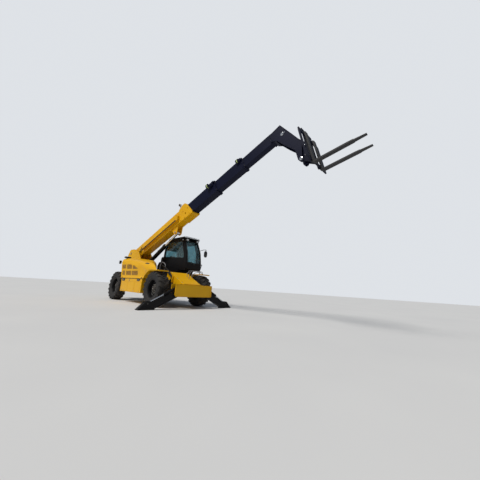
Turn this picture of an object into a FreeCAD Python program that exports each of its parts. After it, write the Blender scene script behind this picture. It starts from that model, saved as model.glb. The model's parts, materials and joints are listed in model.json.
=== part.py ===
import FreeCAD, Part
import Sketcher
import math
import os
from FreeCAD import Vector, Placement, Rotation

# Rough-terrain telehandler. Millimetres. +X forward, +Y to the machine's left, +Z up.
# Shapes are drawn in machine coordinates (X = 0 at the rear axle, Z = 0 on the floor)
# and every sub-part is placed shift_x back, so that X = 0 is the middle of the whole.

doc = FreeCAD.newDocument("telehandler")
sheet = doc.addObject("Spreadsheet::Sheet", "dims")

# name, value in mm or degrees
SIZES = [
    ("shift_x", 4590),
    # running gear
    ("wheelbase", 3440), ("tyre_radius", 600), ("tyre_width", 390), ("wheel_y", 975),
    ("bead_radius", 318), ("rim_width", 300), ("axle_z", 600), ("kingpin_y", 770),
    ("axle_radius", 105), ("hub_radius", 150),
    # chassis
    ("frame_half", 400), ("frame_low", 480), ("frame_top", 950), ("rail_wall", 30),
    ("frame_front", 3598), ("frame_rear", -1000),
    ("tower_in", 300), ("tower_wall", 35), ("pivot_x", -850), ("pivot_z", 2165),
    ("pivot_radius", 50),
    # engine side (right)
    ("pod_out", 1170), ("pod_in", 340), ("pod_low", 925), ("panel", 20),
    ("tank_low", 400), ("tank_high", 910),
    # cab (left)
    ("cab_in", 300), ("cab_out", 1080), ("cab_wall", 40), ("cab_floor", 1050),
    ("glass_thick", 8),
    # boom, along its own axis from the pivot
    ("boom_angle", 22.1), ("boom_drop", 116), ("section_drop", 116), ("tube_wall", 12),
    ("outer_deep", 575), ("outer_wide", 360), ("outer_back", -160), ("outer_front", 4890),
    ("second_deep", 510), ("second_wide", 310), ("second_front", 6490), ("second_long", 4990),
    ("third_deep", 455), ("third_wide", 265), ("third_front", 7956), ("third_long", 4900),
    ("fourth_deep", 395), ("fourth_wide", 220), ("fourth_front", 9270), ("fourth_long", 4800),
    ("neck_half", 170), ("neck_wall", 15),
    # lift cylinder
    ("lift_base_x", -500), ("lift_base_z", 1080), ("lift_eye_s", 3650), ("lift_eye_n", -655),
    ("lift_radius", 92), ("lift_bore", 66), ("lift_barrel", 2730), ("lift_rod", 46), ("eye_radius", 60),
    # tilt cylinder
    ("tilt_base_x", 8192), ("tilt_base_z", 5457), ("tilt_eye_x", 8912), ("tilt_eye_z", 4777),
    ("tilt_radius", 62), ("tilt_bore", 42), ("tilt_barrel", 720), ("tilt_rod", 34),
    # carriage and forks
    ("hitch_x", 8812), ("hitch_z", 4347), ("fork_tilt", 12.2), ("fork_long", 1320),
    ("fork_wide", 130), ("fork_thick", 50), ("fork_y", 264), ("carriage_half", 620),
    # stabilisers
    ("beam_front", 4450), ("beam_back", 4170), ("beam_low", 390), ("beam_high", 800),
    ("beam_half", 800), ("beam_wall", 30), ("leg_x", 4310), ("leg_wide", 150),
    ("leg_pin_y", 620), ("leg_pin_z", 520), ("foot_y", 1690), ("foot_pin_z", 110),
    ("prop_pin_y", 500), ("prop_pin_z", 770), ("prop_eye_y", 1660), ("prop_eye_z", 180),
    ("prop_radius", 45), ("prop_bore", 30), ("prop_barrel", 700), ("prop_rod", 24),
]
size = {}
for row, (word, value) in enumerate(SIZES, 1):
    sheet.set("A%d" % row, word)
    sheet.set("B%d" % row, str(value))
    sheet.setAlias("B%d" % row, word)
    size[word] = float(value)
doc.recompute()


def num(e):
    """A size: a number, or words of the sheet and numbers joined by + and -."""
    if not isinstance(e, str):
        return float(e)
    total, sign = 0.0, 1.0
    for w in e.split():
        if w in "+-":
            sign = 1.0 if w == "+" else -1.0
        else:
            total += sign * (size[w] if w in size else float(w))
    return total


def bind(obj, prop, e):
    """Set a property, bound to the sheet where the size is a word of it."""
    if isinstance(e, str):
        obj.setExpression(prop, " ".join("dims." + w if w in size else w for w in e.split()))
    else:
        setattr(obj, prop, float(e))


def edges_of(points):
    """Line and arc edges of a closed outline. A point is (a, b) or (a, b, radius)."""
    pts = [(num(p[0]), num(p[1]), num(p[2]) if len(p) > 2 else 0.0) for p in points]
    n = len(pts)
    ends, out = [], []
    for i, (a, b, r) in enumerate(pts):
        here = Vector(a, b, 0)
        back = Vector(pts[i - 1][0], pts[i - 1][1], 0) - here
        on = Vector(pts[(i + 1) % n][0], pts[(i + 1) % n][1], 0) - here
        if r <= 0:
            ends.append((here, here, None))
            continue
        u, v = Vector(back).normalize(), Vector(on).normalize()
        half = u.getAngle(v) / 2
        cut = r / math.tan(half)
        mid = (u + v).normalize()
        centre = here + mid * (r / math.sin(half))
        ends.append((here + u * cut, here + v * cut, centre - mid * r))
    for i in range(n):
        a, b, m = ends[i]
        if m is not None:
            out.append(("arc", a, m, b))
        c = ends[(i + 1) % n][0]
        if (c - b).Length > 1e-4:
            out.append(("line", b, c))
    return out


def draw(sk, loops):
    for loop in loops:
        if isinstance(loop, tuple):  # a circle: (a, b, radius)
            sk.addGeometry(Part.Circle(Vector(num(loop[0]), num(loop[1]), 0), Vector(0, 0, 1), num(loop[2])))
            continue
        for e in edges_of(loop):
            if e[0] == "line":
                sk.addGeometry(Part.LineSegment(e[1], e[2]))
            else:
                sk.addGeometry(Part.Arc(e[1], e[2], e[3]))


ROLE = {"XZ": "XZ_Plane", "YZ": "YZ_Plane", "XY": "XY_Plane"}


def body(word):
    b = doc.addObject("PartDesign::Body", word)
    b.Label = word
    b.AllowCompound = True
    return b


def sketch(b, word, plane, loops, off):
    """A sketch on a plane of its body, off along that plane's axis.
    XZ: drawn in X and Z. YZ: drawn in Y and Z. XY: drawn in X and Y."""
    sk = b.newObject("Sketcher::SketchObject", word)
    flat = [f for f in b.Origin.OriginFeatures if f.Role == ROLE[plane]][0]
    sk.AttachmentSupport = [(flat, "")]
    sk.MapMode = "FlatFace"
    away = -num(off) if plane == "XZ" else num(off)
    sk.AttachmentOffset = Placement(Vector(0, 0, away), Rotation())
    draw(sk, loops)
    return sk


def pad(word, plane, loops, off, length, b=None, cuts=()):
    """A plate: loops padded evenly both ways from off. cuts: (plane, loops, off, length)."""
    b = b or body(word)
    p = b.newObject("PartDesign::Pad", word + "_pad")
    p.Profile = sketch(b, word + "_sketch", plane, loops, off)
    bind(p, "Length", length)
    p.Midplane = True
    doc.recompute()
    last = b.Shape.Volume
    for i, (cp, cl, co, cn) in enumerate(cuts):
        c = b.newObject("PartDesign::Pocket", "%s_cut%d" % (word, i))
        c.Profile = sketch(b, "%s_cutsketch%d" % (word, i), cp, cl, co)
        bind(c, "Length", cn)
        c.Midplane = True
        doc.recompute()
        now = b.Shape.Volume
        if now > last - 1:
            print("cut takes nothing:", word, i)
        last = now
    return b


def box(word, x0, x1, y0, y1, z0, z1):
    o = doc.addObject("Part::Box", word)
    x, y, z = num(x0), num(y0), num(z0)
    o.Length, o.Width, o.Height = num(x1) - x, num(y1) - y, num(z1) - z
    for prop, hi, lo in (("Length", x1, x0), ("Width", y1, y0), ("Height", z1, z0)):
        if isinstance(hi, str) and not isinstance(lo, str) and " " not in hi:
            bind(o, prop, "%s - %s" % (hi, lo) if lo >= 0 else "%s + %s" % (hi, -lo))
    o.Placement = Placement(Vector(x, y, z), Rotation())
    return o


def rod(word, radius, a, b):
    """A round bar from point a to point b."""
    a, b = Vector(*[num(v) for v in a]), Vector(*[num(v) for v in b])
    o = doc.addObject("Part::Cylinder", word)
    bind(o, "Radius", radius)
    o.Height = (b - a).Length
    o.Placement = Placement(a, Rotation(Vector(0, 0, 1), b - a))
    return o


def across(word, radius, x, z, y0, y1):
    return rod(word, radius, (x, y0, z), (x, y1, z))


def fuse(word, *parts):
    o = doc.addObject("Part::MultiFuse", word)
    o.Shapes = list(parts)
    return o


def cut(word, base, *tools):
    o = doc.addObject("Part::Cut", word)
    o.Base = base
    o.Tool = tools[0] if len(tools) == 1 else fuse(word + "_tools", *tools)
    return o


def group(word, *parts):
    """Solids of one sub-part that do not touch, kept together."""
    o = doc.addObject("Part::Compound", word)
    o.Links = list(parts)
    return o


def spin(word, points, y, side):
    """A turned piece about the wheel's axis. points: (distance outwards from y, radius)."""
    b = body(word)
    sk = b.newObject("Sketcher::SketchObject", word + "_sketch")
    flat = [f for f in b.Origin.OriginFeatures if f.Role == "XY_Plane"][0]
    sk.AttachmentSupport = [(flat, "")]
    sk.MapMode = "FlatFace"
    draw(sk, [[(p[1], p[0]) + tuple(p[2:]) for p in points]])
    r = b.newObject("PartDesign::Revolution", word + "_turn")
    r.Profile = sk
    axis = [f for f in b.Origin.OriginFeatures if f.Role == "Y_Axis"][0]
    r.ReferenceAxis = (axis, [""])
    r.Angle = 360
    doc.recompute()
    return b


nodes = []


def node(word, obj, at=None):
    """Name a sub-part and set it in its place in the machine."""
    obj.Label = word
    place = at or Placement()
    obj.Placement = Placement(Vector(-size["shift_x"], 0, 0), Rotation()).multiply(place).multiply(obj.Placement)
    nodes.append((word, obj))
    return obj


# ---------------------------------------------------------------- chassis
frame_side = [
    ("frame_rear", 620), (-760, 480, 60), ("frame_front", 480), ("frame_front", "frame_top"), ("frame_rear", "frame_top"),
]
node("chassis_frame", pad(
    "chassis_frame", "XZ", [frame_side], 0, "frame_half + frame_half",
    cuts=[
        ("YZ", [[(-370, 300), (370, 300), (370, 920), (-370, 920)]], 1800, 5900),
        ("XZ", [[(x - 125, 400), (x + 125, 400), (x + 125, 680, 60), (x + 85, 725, 40), (x - 85, 725, 40),
                 (x - 125, 680, 60)] for x in (0, num("wheelbase"))], 0, 900),
    ]))

tower_side = [
    (-1000, 950), (-1000, 1230, 20), (-1185, 1300, 100), (-1200, 2100, 120), (-1010, 2385, 160), (-560, 2385, 200),
    (-40, 2220, 90), (330, 1880, 60), (430, 1500, 60), (440, 950),
]
tower = pad("boom_tower", "XZ", [tower_side], 0, 670,
            cuts=[("XY", [[(-1400, -300), (900, -300), (900, 300), (-1400, 300)]], 1800, 1640)])
node("boom_tower", fuse("tower_all", tower, across("pivot_pin", "pivot_radius", "pivot_x", "pivot_z", -350, 350)))

node("lift_lugs", fuse(
    "lift_lugs",
    pad("lift_lug_l", "XZ", [[(-680, 980), (-320, 980), (-420, 1165, 70), (-580, 1165, 70)]], 135, 30),
    pad("lift_lug_r", "XZ", [[(-680, 980), (-320, 980), (-420, 1165, 70), (-580, 1165, 70)]], -135, 30),
    across("lift_base_pin", 44.5, "lift_base_x", "lift_base_z", -160, 160)))

node("rear_counterweight", pad(
    "rear_counterweight", "XZ",
    [[(-1240, 640, 60), (-1100, 560, 40), (-1001, 560), (-1001, 1200), (-1240, 1200, 80)]], 0, 1180))

node("tow_hitch", pad("tow_hitch", "XY", [[(-1242, -70), (-1242, 70), (-1330, 70, 40), (-1330, -70, 40)]],
                      640, 120, cuts=[("XZ", [[(-1400, 615), (-1280, 615), (-1280, 665), (-1400, 665)]], 0, 200),
                                      ("XY", [(-1300, 0, 16)], 640, 200)]))

nose_side = [
    (3100, 1238), (3330, 1238, 160), (3700, 1055, 200), (4240, 824, 40), (4330, 818), (4330, 801), (4169, 801),
    (4169, 560), (4040, 480, 60), (3670, 480), (3640, 560), (3600, 700), (3600, 951), (3100, 951),
]
node("front_nose", pad("front_nose", "XZ", [nose_side], 0, 800,
                       cuts=[("XZ", [[(3080, 930), (3590, 930), (3590, 510), (4030, 510, 40), (4139, 575), (4139, 830, 40),
                                      (3690, 1025, 200), (3323, 1208, 160), (3080, 1208)]], 0, 740)]))

# ---------------------------------------------------------------- stabiliser crossbeam
beam = pad("stabiliser_beam", "YZ",
           [[("0 - beam_half", 450), (-750, "beam_low"), (750, "beam_low"), ("beam_half", 450),
             ("beam_half", "beam_high"), ("0 - beam_half", "beam_high")]], "leg_x", 280,
           cuts=[("YZ", [[(-900, 420), (900, 420), (900, 770), (-900, 770)]], "leg_x", 230),
                 ("XY", [[(4195, -900), (4425, -900), (4425, -240), (4195, -240)],
                         [(4195, 240), (4425, 240), (4425, 900), (4195, 900)]], 600, 600)])
beam_pins = []

# each side: name, which way it points
SIDES = [("left", 1), ("right", -1)]


def flank(points, s):
    """An outline drawn for the left, turned over for the right."""
    out = [(s * num(p[0]),) + tuple(p[1:]) for p in points]
    return out if s > 0 else out[::-1]


for side, s in SIDES:
    leg = pad("leg_arm_" + side, "YZ", [flank([
        (545, 530, 45), (590, 405, 50), (1390, 45, 40), (1425, 0), (1925, 0), (1945, 26),
        (1850, 120, 50), (1730, 235, 45), (1600, 252, 40), (1480, 232, 60), (680, 590, 50)], s)], "leg_x", "leg_wide",
        cuts=[("YZ", [(s * num("leg_pin_y"), "leg_pin_z", 31)], "leg_x", 400),
              ("YZ", [flank([(1380, 400), (1380, 245), (1570, 115, 30), (1760, 115, 30), (1760, 400)], s)], "leg_x", 70),
              ("YZ", [(s * num("prop_eye_y"), "prop_eye_z", 21)], "leg_x", 400)])
    shoe = pad("leg_shoe_" + side, "YZ", [flank([(1430, 0), (1950, 0), (1950, 26), (1430, 26)], s)],
               "leg_x", 200)
    node("stabiliser_leg_" + side, fuse("leg_" + side, leg, shoe))
    # hinge pins across the beam
    y, z = s * num("leg_pin_y"), num("leg_pin_z")
    yp, zp = s * num("prop_pin_y"), num("prop_pin_z")
    pins = [rod("leg_pin_" + side, 30, (4190, y, z), (4430, y, z)),
            rod("prop_pin_" + side, 20, (4190, yp, zp), (4430, yp, zp))]
    beam_pins += pins
    # prop cylinder: from its pin in the beam to the eye on the leg
    p = Vector(num("leg_x"), yp, zp)
    e = Vector(num("leg_x"), s * num("prop_eye_y"), num("prop_eye_z"))
    way = (e - p).normalize()
    barrel = cut("prop_barrel_" + side,
                 fuse("prop_tube_" + side,
                      rod("prop_body_" + side, "prop_radius", p + way * 30, p + way * num("prop_barrel")),
                      rod("prop_base_" + side, 42, p - Vector(30, 0, 0), p + Vector(30, 0, 0))),
                 rod("prop_hollow_" + side, "prop_bore", p + way * 90, p + way * (num("prop_barrel") + 20)),
                 rod("prop_eyehole_" + side, 20.5, p - Vector(60, 0, 0), p + Vector(60, 0, 0)))
    node("stabiliser_barrel_" + side, barrel)
    stem = cut("prop_rod_" + side,
               fuse("prop_stem_" + side,
                    rod("prop_shaft_" + side, "prop_rod", p + way * 420, e - way * 25),
                    rod("prop_tip_" + side, 36, e - Vector(28, 0, 0), e + Vector(28, 0, 0))),
               rod("prop_tiphole_" + side, 14, e - Vector(60, 0, 0), e + Vector(60, 0, 0)))
    node("stabiliser_rod_" + side, stem)

node("stabiliser_beam", fuse("stabiliser_beam_all", beam, *beam_pins))

# ---------------------------------------------------------------- axles, knuckles, wheels
# axle: name, X
AXLES = [("front", "wheelbase"), ("rear", 0)]
for word, x in AXLES:
    x = num(x)
    z = num("axle_z")
    casing = fuse("casing_" + word,
                  rod("beam_" + word, "axle_radius", (x, -640, z), (x, 640, z)),
                  rod("diff_" + word, 190, (x, -110, z - 20), (x, 110, z - 20)),
                  box("pad_l_" + word, x - 110, x + 110, 250, 368, z, 700),
                  box("pad_r_" + word, x - 110, x + 110, -368, -250, z, 700),
                  box("fork_l_" + word, x - 70, x + 70, 600, 810, z - 165, z + 165),
                  box("fork_r_" + word, x - 70, x + 70, -810, -600, z - 165, z + 165))
    opening = [box("gap_l_" + word, x - 200, x + 200, 655, 900, z - 125, z + 125),
               box("gap_r_" + word, x - 200, x + 200, -900, -655, z - 125, z + 125)]
    node("axle_" + word, cut("axle_" + word, casing, *opening))

# wheel: short name, side sign, X
WHEELS = [("front_left", 1, "wheelbase"), ("front_right", -1, "wheelbase"),
          ("rear_left", 1, 0), ("rear_right", -1, 0)]
half = num("tyre_width") / 2
tyre_ring = [
    (-150, "bead_radius"), (150, "bead_radius"), (165, 350, 10), (half, 430, 60), (half, 560, 20),
    (half - 18, 592, 10), (half - 70, 600), (-half + 70, 600), (-half + 18, 592, 10), (-half, 560, 20),
    (-half, 430, 60), (-165, 350, 10),
]
# rim: outwards from the wheel's middle, radius
rim_ring = [
    (-150, 300), (-150, 317.6), (150, 317.6), (150, 300), (120, 286, 20), (10, 280, 10), (-5, 190, 20), (30, 165, 20),
    (30, 0), (-22, 0), (-22, 150), (-55, 190), (-40, 270, 20), (-120, 286, 20),
]
for word, s, x in WHEELS:
    at = Placement(Vector(num(x), s * num("wheel_y"), num("axle_z")),
                   Rotation() if s > 0 else Rotation(Vector(0, 0, 1), 180))
    node("tyre_" + word, spin("tyre_" + word, tyre_ring, 0, 1), at)
    node("rim_" + word, spin("rim_" + word, rim_ring, 0, 1), at)
    y, z, x = s * num("kingpin_y"), num("axle_z"), num(x)
    knuckle = fuse("knuckle_" + word,
                   rod("kingpin_" + word, 55, (x, y, z - 120), (x, y, z + 120)),
                   rod("spindle_" + word, "hub_radius - 40", (x, y, z), (x, s * 905, z)),
                   rod("hub_" + word, 120, (x, s * 840, z), (x, s * 951, z)),
                   box("arm_" + word, x - 190, x - 20, min(y - 25, y + 25), max(y - 25, y + 25), z - 30, z + 30))
    node("knuckle_" + word, knuckle)

# ---------------------------------------------------------------- engine side
def hood_shape(word, grow, low, inner):
    """Side outline with the rounded cross-section that follows the slope of the hood, cut slantwise at its front."""
    g = grow
    base = pad(word + "_side", "XZ", [[
        (370 - g, 1740, 0), (450 - g * 0.7, 1835 - g * -1.0, 60), (760, 1835 + g, 200), (2330, 1660 + g),
        (3540, 1520 + g, 80), (3660 + g, 1330, 60), (3760 + g, 1252 - g), (3060 + g * 0.5, 1252 - g, 60),
        (2800 + g * 0.8, 1075 - g, 60), (2730 + g, low), (650 - g, low)]], -755, 960)
    plan = pad(word + "_plan", "XY", [[
        (200, -1400), (4083 + 0.46 * g, -1400 + 0.89 * g), (1770 + 0.46 * g, -200 + 0.89 * g), (200, -200)]], 1400, 1400)
    sec = doc.addObject("Sketcher::SketchObject", word + "_section")
    sec.Placement = Placement(Vector(0, 0, 0), Rotation(Vector(1, 1, 1), 120))
    out = -num("pod_out") - g
    draw(sec, [[(out, 600), (out, 1830 + g, 260), (inner, 1925 + g, 30), (inner, 600)]])
    ext = doc.addObject("Part::Extrusion", word + "_run")
    ext.Base = sec
    ext.DirMode = "Custom"
    ext.Dir = Vector(1, 0, -0.108)
    ext.LengthFwd = 4300
    ext.Solid = True
    doc.recompute()
    com = doc.addObject("Part::MultiCommon", word + "_common")
    com.Shapes = [base, ext, plan]
    return com


# grille openings, slanted like the hood's rear edge: top row, then low row
GRILLES = [
    [(500, 1490, 20), (850, 1485, 20), (925, 1320, 20), (575, 1320, 20)],
    [(990, 1480, 20), (1460, 1470, 20), (1540, 1300, 20), (1070, 1300, 20)],
    [(1580, 1440, 20), (1700, 1430, 40), (2120, 1290, 15), (1655, 1290, 20)],
    [(620, 1220, 20), (870, 1220, 20), (950, 1050, 20), (695, 1050, 20)],
    [(1020, 1215, 20), (1490, 1215, 20), (1570, 1050, 20), (1100, 1050, 20)],
    [(1580, 1210, 20), (2110, 1210, 20), (2185, 1050, 20), (1660, 1050, 20)],
]
hood = cut("hood_cut", hood_shape("hood_skin", 0, "pod_low", -345),
           hood_shape("hood_space", -20, 880, -250),
           box("hood_heel", 300, 3000, -406, -300, 850, 956),
           box("hood_toe", 1950, 2700, -760, -300, 850, 985),
           *[pad("grille_%d" % i, "XZ", [g], -1170, 120) for i, g in enumerate(GRILLES)])
node("engine_hood", hood)
node("hood_grilles", group("hood_grilles", *[
    pad("mesh_%d" % i, "XZ", [g], -1156, 8) for i, g in enumerate(GRILLES)]))
node("engine_bed", fuse("engine_bed",
                        pad("bed_floor", "XY", [[(700, -1140), (2670, -1140), (2670, -705), (2030, -372), (700, -372)]], 961, 20),
                        box("bed_wall", 720, 1960, -398, -372, 951, 1560)))
node("engine_block", box("engine_block", 760, 1975, -1000, -430, 972, 1500))
node("side_tank", pad("side_tank", "XZ",
                      [[(770, "tank_low", 30), (2680, "tank_low", 30), (2640, "tank_high"), (710, "tank_high")]],
                      -780, 740))
# fender plates close over the front wheels
for side, s in SIDES:
    node("fender_front_" + side, pad("fender_front_" + side, "XZ", [[
        (3792, 1244), (3062, 1244, 60), (2810, 1070, 60), (2742, 935), (2762, 930), (2830, 1058, 60), (3070, 1222, 60),
        (3766, 1222), (3774, 1204), (3792, 1204)]], s * 967, 412))

# ---------------------------------------------------------------- cab
cab_side = [
    (1400, "cab_floor"), (2600, "cab_floor", 60), (2740, 1370, 60), (3235, 1385, 60), (3270, 1660, 120),
    (3150, 2170, 500), (2830, 2750, 60), (1700, 2760, 120), (1370, 2440, 160), (1350, 1980, 40),
]
cab_inner = [
    (1440, 1090), (2575, 1090, 40), (2715, 1412, 40), (3200, 1425, 40), (3228, 1655, 100),
    (3108, 2160, 480), (2805, 2708, 40), (1715, 2718, 100), (1412, 2422, 130), (1392, 1985, 30),
]
window_right = [(1480, 1975, 60), (3030, 1885, 60), (2940, 2260, 60), (2740, 2620, 70), (1740, 2630, 70), (1480, 2380, 60)]
door_hole = [(1700, 1115, 60), (2555, 1115, 60), (2695, 1460, 60), (2950, 1470, 60), (2985, 1660, 60), (2900, 2200, 200), (2690, 2650, 60),
             (1760, 2660, 60), (1700, 2580, 60)]
cab = pad("cab_frame", "XZ", [cab_side], 690, "cab_out - cab_in",
          cuts=[("XZ", [cab_inner], 690, 700),
                ("XZ", [window_right], 310, 100),
                ("XZ", [door_hole], 1070, 100),
                ("YZ", [[(375, 1700, 60), (1005, 1700, 60), (985, 2610, 70), (395, 2610, 70)]], 3050, 560),
                ("YZ", [[(380, 1800, 60), (1000, 1800, 60), (1000, 2330, 60), (380, 2330, 60)]], 1380, 140),
                ("XY", [[(1900, 400, 50), (2640, 400, 50), (2640, 980, 50), (1900, 980, 50)]], 2760, 160)])
node("cab_frame", cab)


def inset(points, d):
    """The same outline drawn d smaller, about its middle (close enough for a pane's rim)."""
    xs, zs = [num(p[0]) for p in points], [num(p[1]) for p in points]
    cx, cz = (min(xs) + max(xs)) / 2, (min(zs) + max(zs)) / 2
    fx, fz = 1 - 2 * d / (max(xs) - min(xs)), 1 - 2 * d / (max(zs) - min(zs))
    return [(cx + (num(p[0]) - cx) * fx, cz + (num(p[1]) - cz) * fz) + tuple(p[2:]) for p in points]


# the windscreen follows the front posts: lower and upper flat panes as one bent outline
sheets = [
    pad("pane_bend", "XZ", [[
        (3247, 1690), (3255, 1690), (3143, 2172), (2888, 2616), (2880, 2616), (3135, 2170)]], 690, 700),
    pad("pane_prism", "YZ", [[(376, 1701, 59), (1004, 1701, 59), (984, 2609, 69), (396, 2609, 69)]], 3050, 560)]
screen = doc.addObject("Part::MultiCommon", "pane_front")
screen.Shapes = sheets
panes = [screen,
         pad("pane_right", "XZ", [inset(window_right, 1)], 320, "glass_thick"),
         pad("pane_rear", "YZ", [[(381, 1801, 60), (999, 1801, 60), (999, 2329, 60), (381, 2329, 60)]], 1371, "glass_thick"),
         pad("pane_roof", "XY", [[(1901, 401, 50), (2639, 401, 50), (2639, 979, 50), (1901, 979, 50)]], 2735, "glass_thick")]
node("cab_glass", group("cab_glass", *panes))

node("cab_roof", pad("cab_roof", "XZ",
                     [[(1640, 2763), (2960, 2753), (2990, 2775), (2880, 2818, 60), (1740, 2828, 60), (1610, 2785)]],
                     690, 800, cuts=[("XY", [[(1900, 400, 50), (2640, 400, 50), (2640, 980, 50), (1900, 980, 50)]], 2800, 200)]))

door_shape = inset(door_hole, 9)
door_window = [(1790, 1620, 60), (2900, 1620, 60), (2915, 1700, 40), (2840, 2190, 180), (2650, 2570, 60), (1800, 2580, 60)]
node("cab_door", pad("cab_door", "XZ", [door_shape], 1060, "cab_wall",
                     cuts=[("XZ", [door_window], 1060, 90)]))
node("door_glass", pad("door_glass", "XZ", [inset(door_window, 1)], 1060, "glass_thick"))

seat = fuse("seat_parts",
            pad("seat_base", "XZ", [[(1650, 1091), (2050, 1091), (2020, 1430), (1680, 1430)]], 690, 300),
            pad("seat_pan", "XZ", [[(1590, 1421, 30), (2130, 1421, 60), (2140, 1545, 60), (1600, 1520, 30)]], 690, 480),
            pad("seat_rest", "XZ", [[(1600, 1500, 20), (1720, 1510, 20), (1600, 2120, 50), (1480, 2100, 50)]], 690, 460))
node("driver_seat", seat)
column = fuse("column_parts",
              rod("column_post", 45, (2747, 690, 1450), (2560, 690, 1890)),
              box("column_base", 2720, 2880, 600, 780, 1420, 1640))
node("steering_column", column)
ring = doc.addObject("Part::Torus", "wheel_ring")
ring.Radius1, ring.Radius2 = 190, 14
ring.Placement = Placement(Vector(2540, 690, 1925), Rotation(Vector(0, 1, 0), -23))
spoke = rod("wheel_spoke", 12, (2540, 505, 1925), (2540, 875, 1925))
boss = rod("wheel_boss", 40, (2558, 690, 1893), (2536, 690, 1945))
node("steering_wheel", fuse("steering_wheel_parts", ring, spoke, boss))

mirror_arm = fuse("mirror_parts",
                  box("mirror_foot", 2985, 3035, 1080.5, 1112, 2225, 2275),
                  rod("mirror_bar", 12, (3010, 1098, 2250), (3420, 1150, 2330)),
                  rod("mirror_drop", 12, (3420, 1150, 2330), (3430, 1150, 2200)),
                  box("mirror_head", 3400, 3450, 1060, 1235, 1990, 2270))
node("mirror", mirror_arm)
node("step_box", fuse("step_box_parts",
                      box("battery_case", 1310, 2560, 402, 1060, 450, 940),
                      box("tread_low", 1600, 2300, 1050, 1160, 560, 600),
                      box("tread_high", 1600, 2300, 1050, 1130, 820, 860)))

node("hydraulic_tank", pad("hydraulic_tank", "XZ",
                           [[(740, 900, 40), (1300, 900, 40), (1300, 1780, 60), (820, 1780, 100), (690, 1600, 60)]],
                           745, 680))

node("work_lamps", group("work_lamps",
                         box("lamp_front_l", 2900, 2985, 900, 1030, 2645, 2740),
                         box("lamp_front_r", 2900, 2985, 350, 480, 2645, 2740),
                         box("lamp_rear_l", -1280, -1242, 430, 560, 1040, 1120),
                         box("lamp_rear_r", -1280, -1242, -560, -430, 1040, 1120)))

# ---------------------------------------------------------------- boom
# Drawn along the boom: a = distance ahead of the pivot, b = distance above it.
ang = num("boom_angle")
boom_at = Placement(Vector(num("pivot_x"), 0, num("pivot_z")), Rotation(Vector(0, 1, 0), -ang))
drop = num("boom_drop")


def tube(word, back, front, deep, wide, wall, collar, slant=0.0):
    """A boom section: a box tube open at both ends, with a thicker collar at its front."""
    back, front, deep, wide, wall = num(back), num(front), num(deep), num(wide), num(wall)
    mid = -num("section_drop")
    lo, hi = mid - deep / 2, mid + deep / 2
    main = pad(word + "_tube", "XZ", [[(back, lo), (front + slant, lo), (front, hi), (back, hi)]], 0, wide)
    parts = [main]
    if collar:
        c = collar
        parts.append(pad(word + "_collar", "XZ",
                         [[(front - 110, lo - c), (front, lo - c), (front, hi + c), (front - 110, hi + c)]],
                         0, wide + 2 * c))
        parts.append(box(word + "_block", front - 120, front - 10, -wide * 0.3, wide * 0.3, hi + c - 1, hi + 30))
        shell = fuse(word + "_shell", *parts)
    else:
        shell = main
    inner = box(word + "_bore", back - 50, front + abs(slant) + 50, -wide / 2 + wall, wide / 2 - wall,
                lo + wall, hi - wall)
    return shell, inner


lo, hi = -drop - num("outer_deep") / 2, -drop + num("outer_deep") / 2
outer_main = pad("outer_tube", "XZ", [[
    ("outer_back", lo + 60, 50), (100, lo, 80), (4975, lo), (4720, hi), (4600, 285, 20), (4430, 300, 20),
    (4120, hi), (-100, hi, 60), ("outer_back", 60, 60)]], 0, "outer_wide")
outer_head = pad("outer_head", "XZ", [[
    (4140, lo + 70), (4250, lo - 28, 40), (4985, lo - 28), (4990, -340), (4735, 150), (4600, 290, 20), (4430, 305, 20), (4140, hi + 15)]], 0, 400)
boss = across("outer_boss", 92, 0, 0, -290, 290)
eye_s, eye_n = num("lift_eye_s"), num("lift_eye_n")
bracket = [pad("eye_plate_%s" % s, "XZ", [[(3380, lo + 6), (3570, -735, 80), (3730, -735, 80), (3900, lo + 6)]], y, 30)
           for s, y in (("l", 112), ("r", -112))]
bracket += [across("eye_boss_%s" % s, 48, eye_s, eye_n, y - 14, y + 14) for s, y in (("l", 138), ("r", -138))]
outer = cut("outer_all", fuse("outer_shell", outer_main, outer_head, boss, *bracket),
            box("outer_bore", -400, 5200, -168, 168, lo + 12, hi - 12),
            across("outer_pinhole", "pivot_radius + 0.5", 0, 0, -400, 400),
            across("outer_sight", 38, 4560, -220, -260, -150),
            box("outer_tailcut", -400, -90, -168, 168, lo - 20, -70))
node("boom_outer", outer, boom_at)
node("hose_tray", pad("hose_tray", "XZ", [[(1040, -268, 30), (4080, -268, 60), (4120, -60, 90), (4000, 10, 60), (1060, 10, 30)]], -230, 100,
                      cuts=[("XZ", [[(900, -222), (3950, -222), (3950, -250), (900, -250)]], -275, 60)]), boom_at)

# section: name, front, length, depth, width, collar
SECTIONS = [
    ("second", "second_front", "second_long", "second_deep", "second_wide", 14),
    ("third", "third_front", "third_long", "third_deep", "third_wide", 12),
]
for word, front, long, deep, wide, collar in SECTIONS:
    shell, bore = tube(word, num(front) - num(long), front, deep, wide, "tube_wall", collar)
    node("boom_" + word, cut(word + "_all", shell, bore), boom_at)
shell, bore = tube("fourth", num("fourth_front") - num("fourth_long"), "fourth_front", "fourth_deep", "fourth_wide", "tube_wall", 0)
node("boom_fourth", fuse("fourth_closed", cut("fourth_all", shell, bore), box("fourth_cap", 9258, 9270, -105, 105, -300, 76)), boom_at)

# gooseneck: two side plates joined by a top cover and a front cover
neck = [
    (9205, -8), (9685, 40, 30), (9878, -609), (9966, -925), (10030, -1080, 30), (9835, -1560), (9845, -1690, 60), (9735, -1740, 60),
    (9685, -1590, 40), (9737, -1221, 60), (9530, -802, 60), (9381, -451, 30), (9255, -335),
]


def at_boom(x, z):
    """A machine point given along the boom."""
    c, s_ = math.cos(math.radians(ang)), math.sin(math.radians(ang))
    dx, dz = num(x) - num("pivot_x"), num(z) - num("pivot_z")
    return dx * c + dz * s_, -dx * s_ + dz * c


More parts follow.
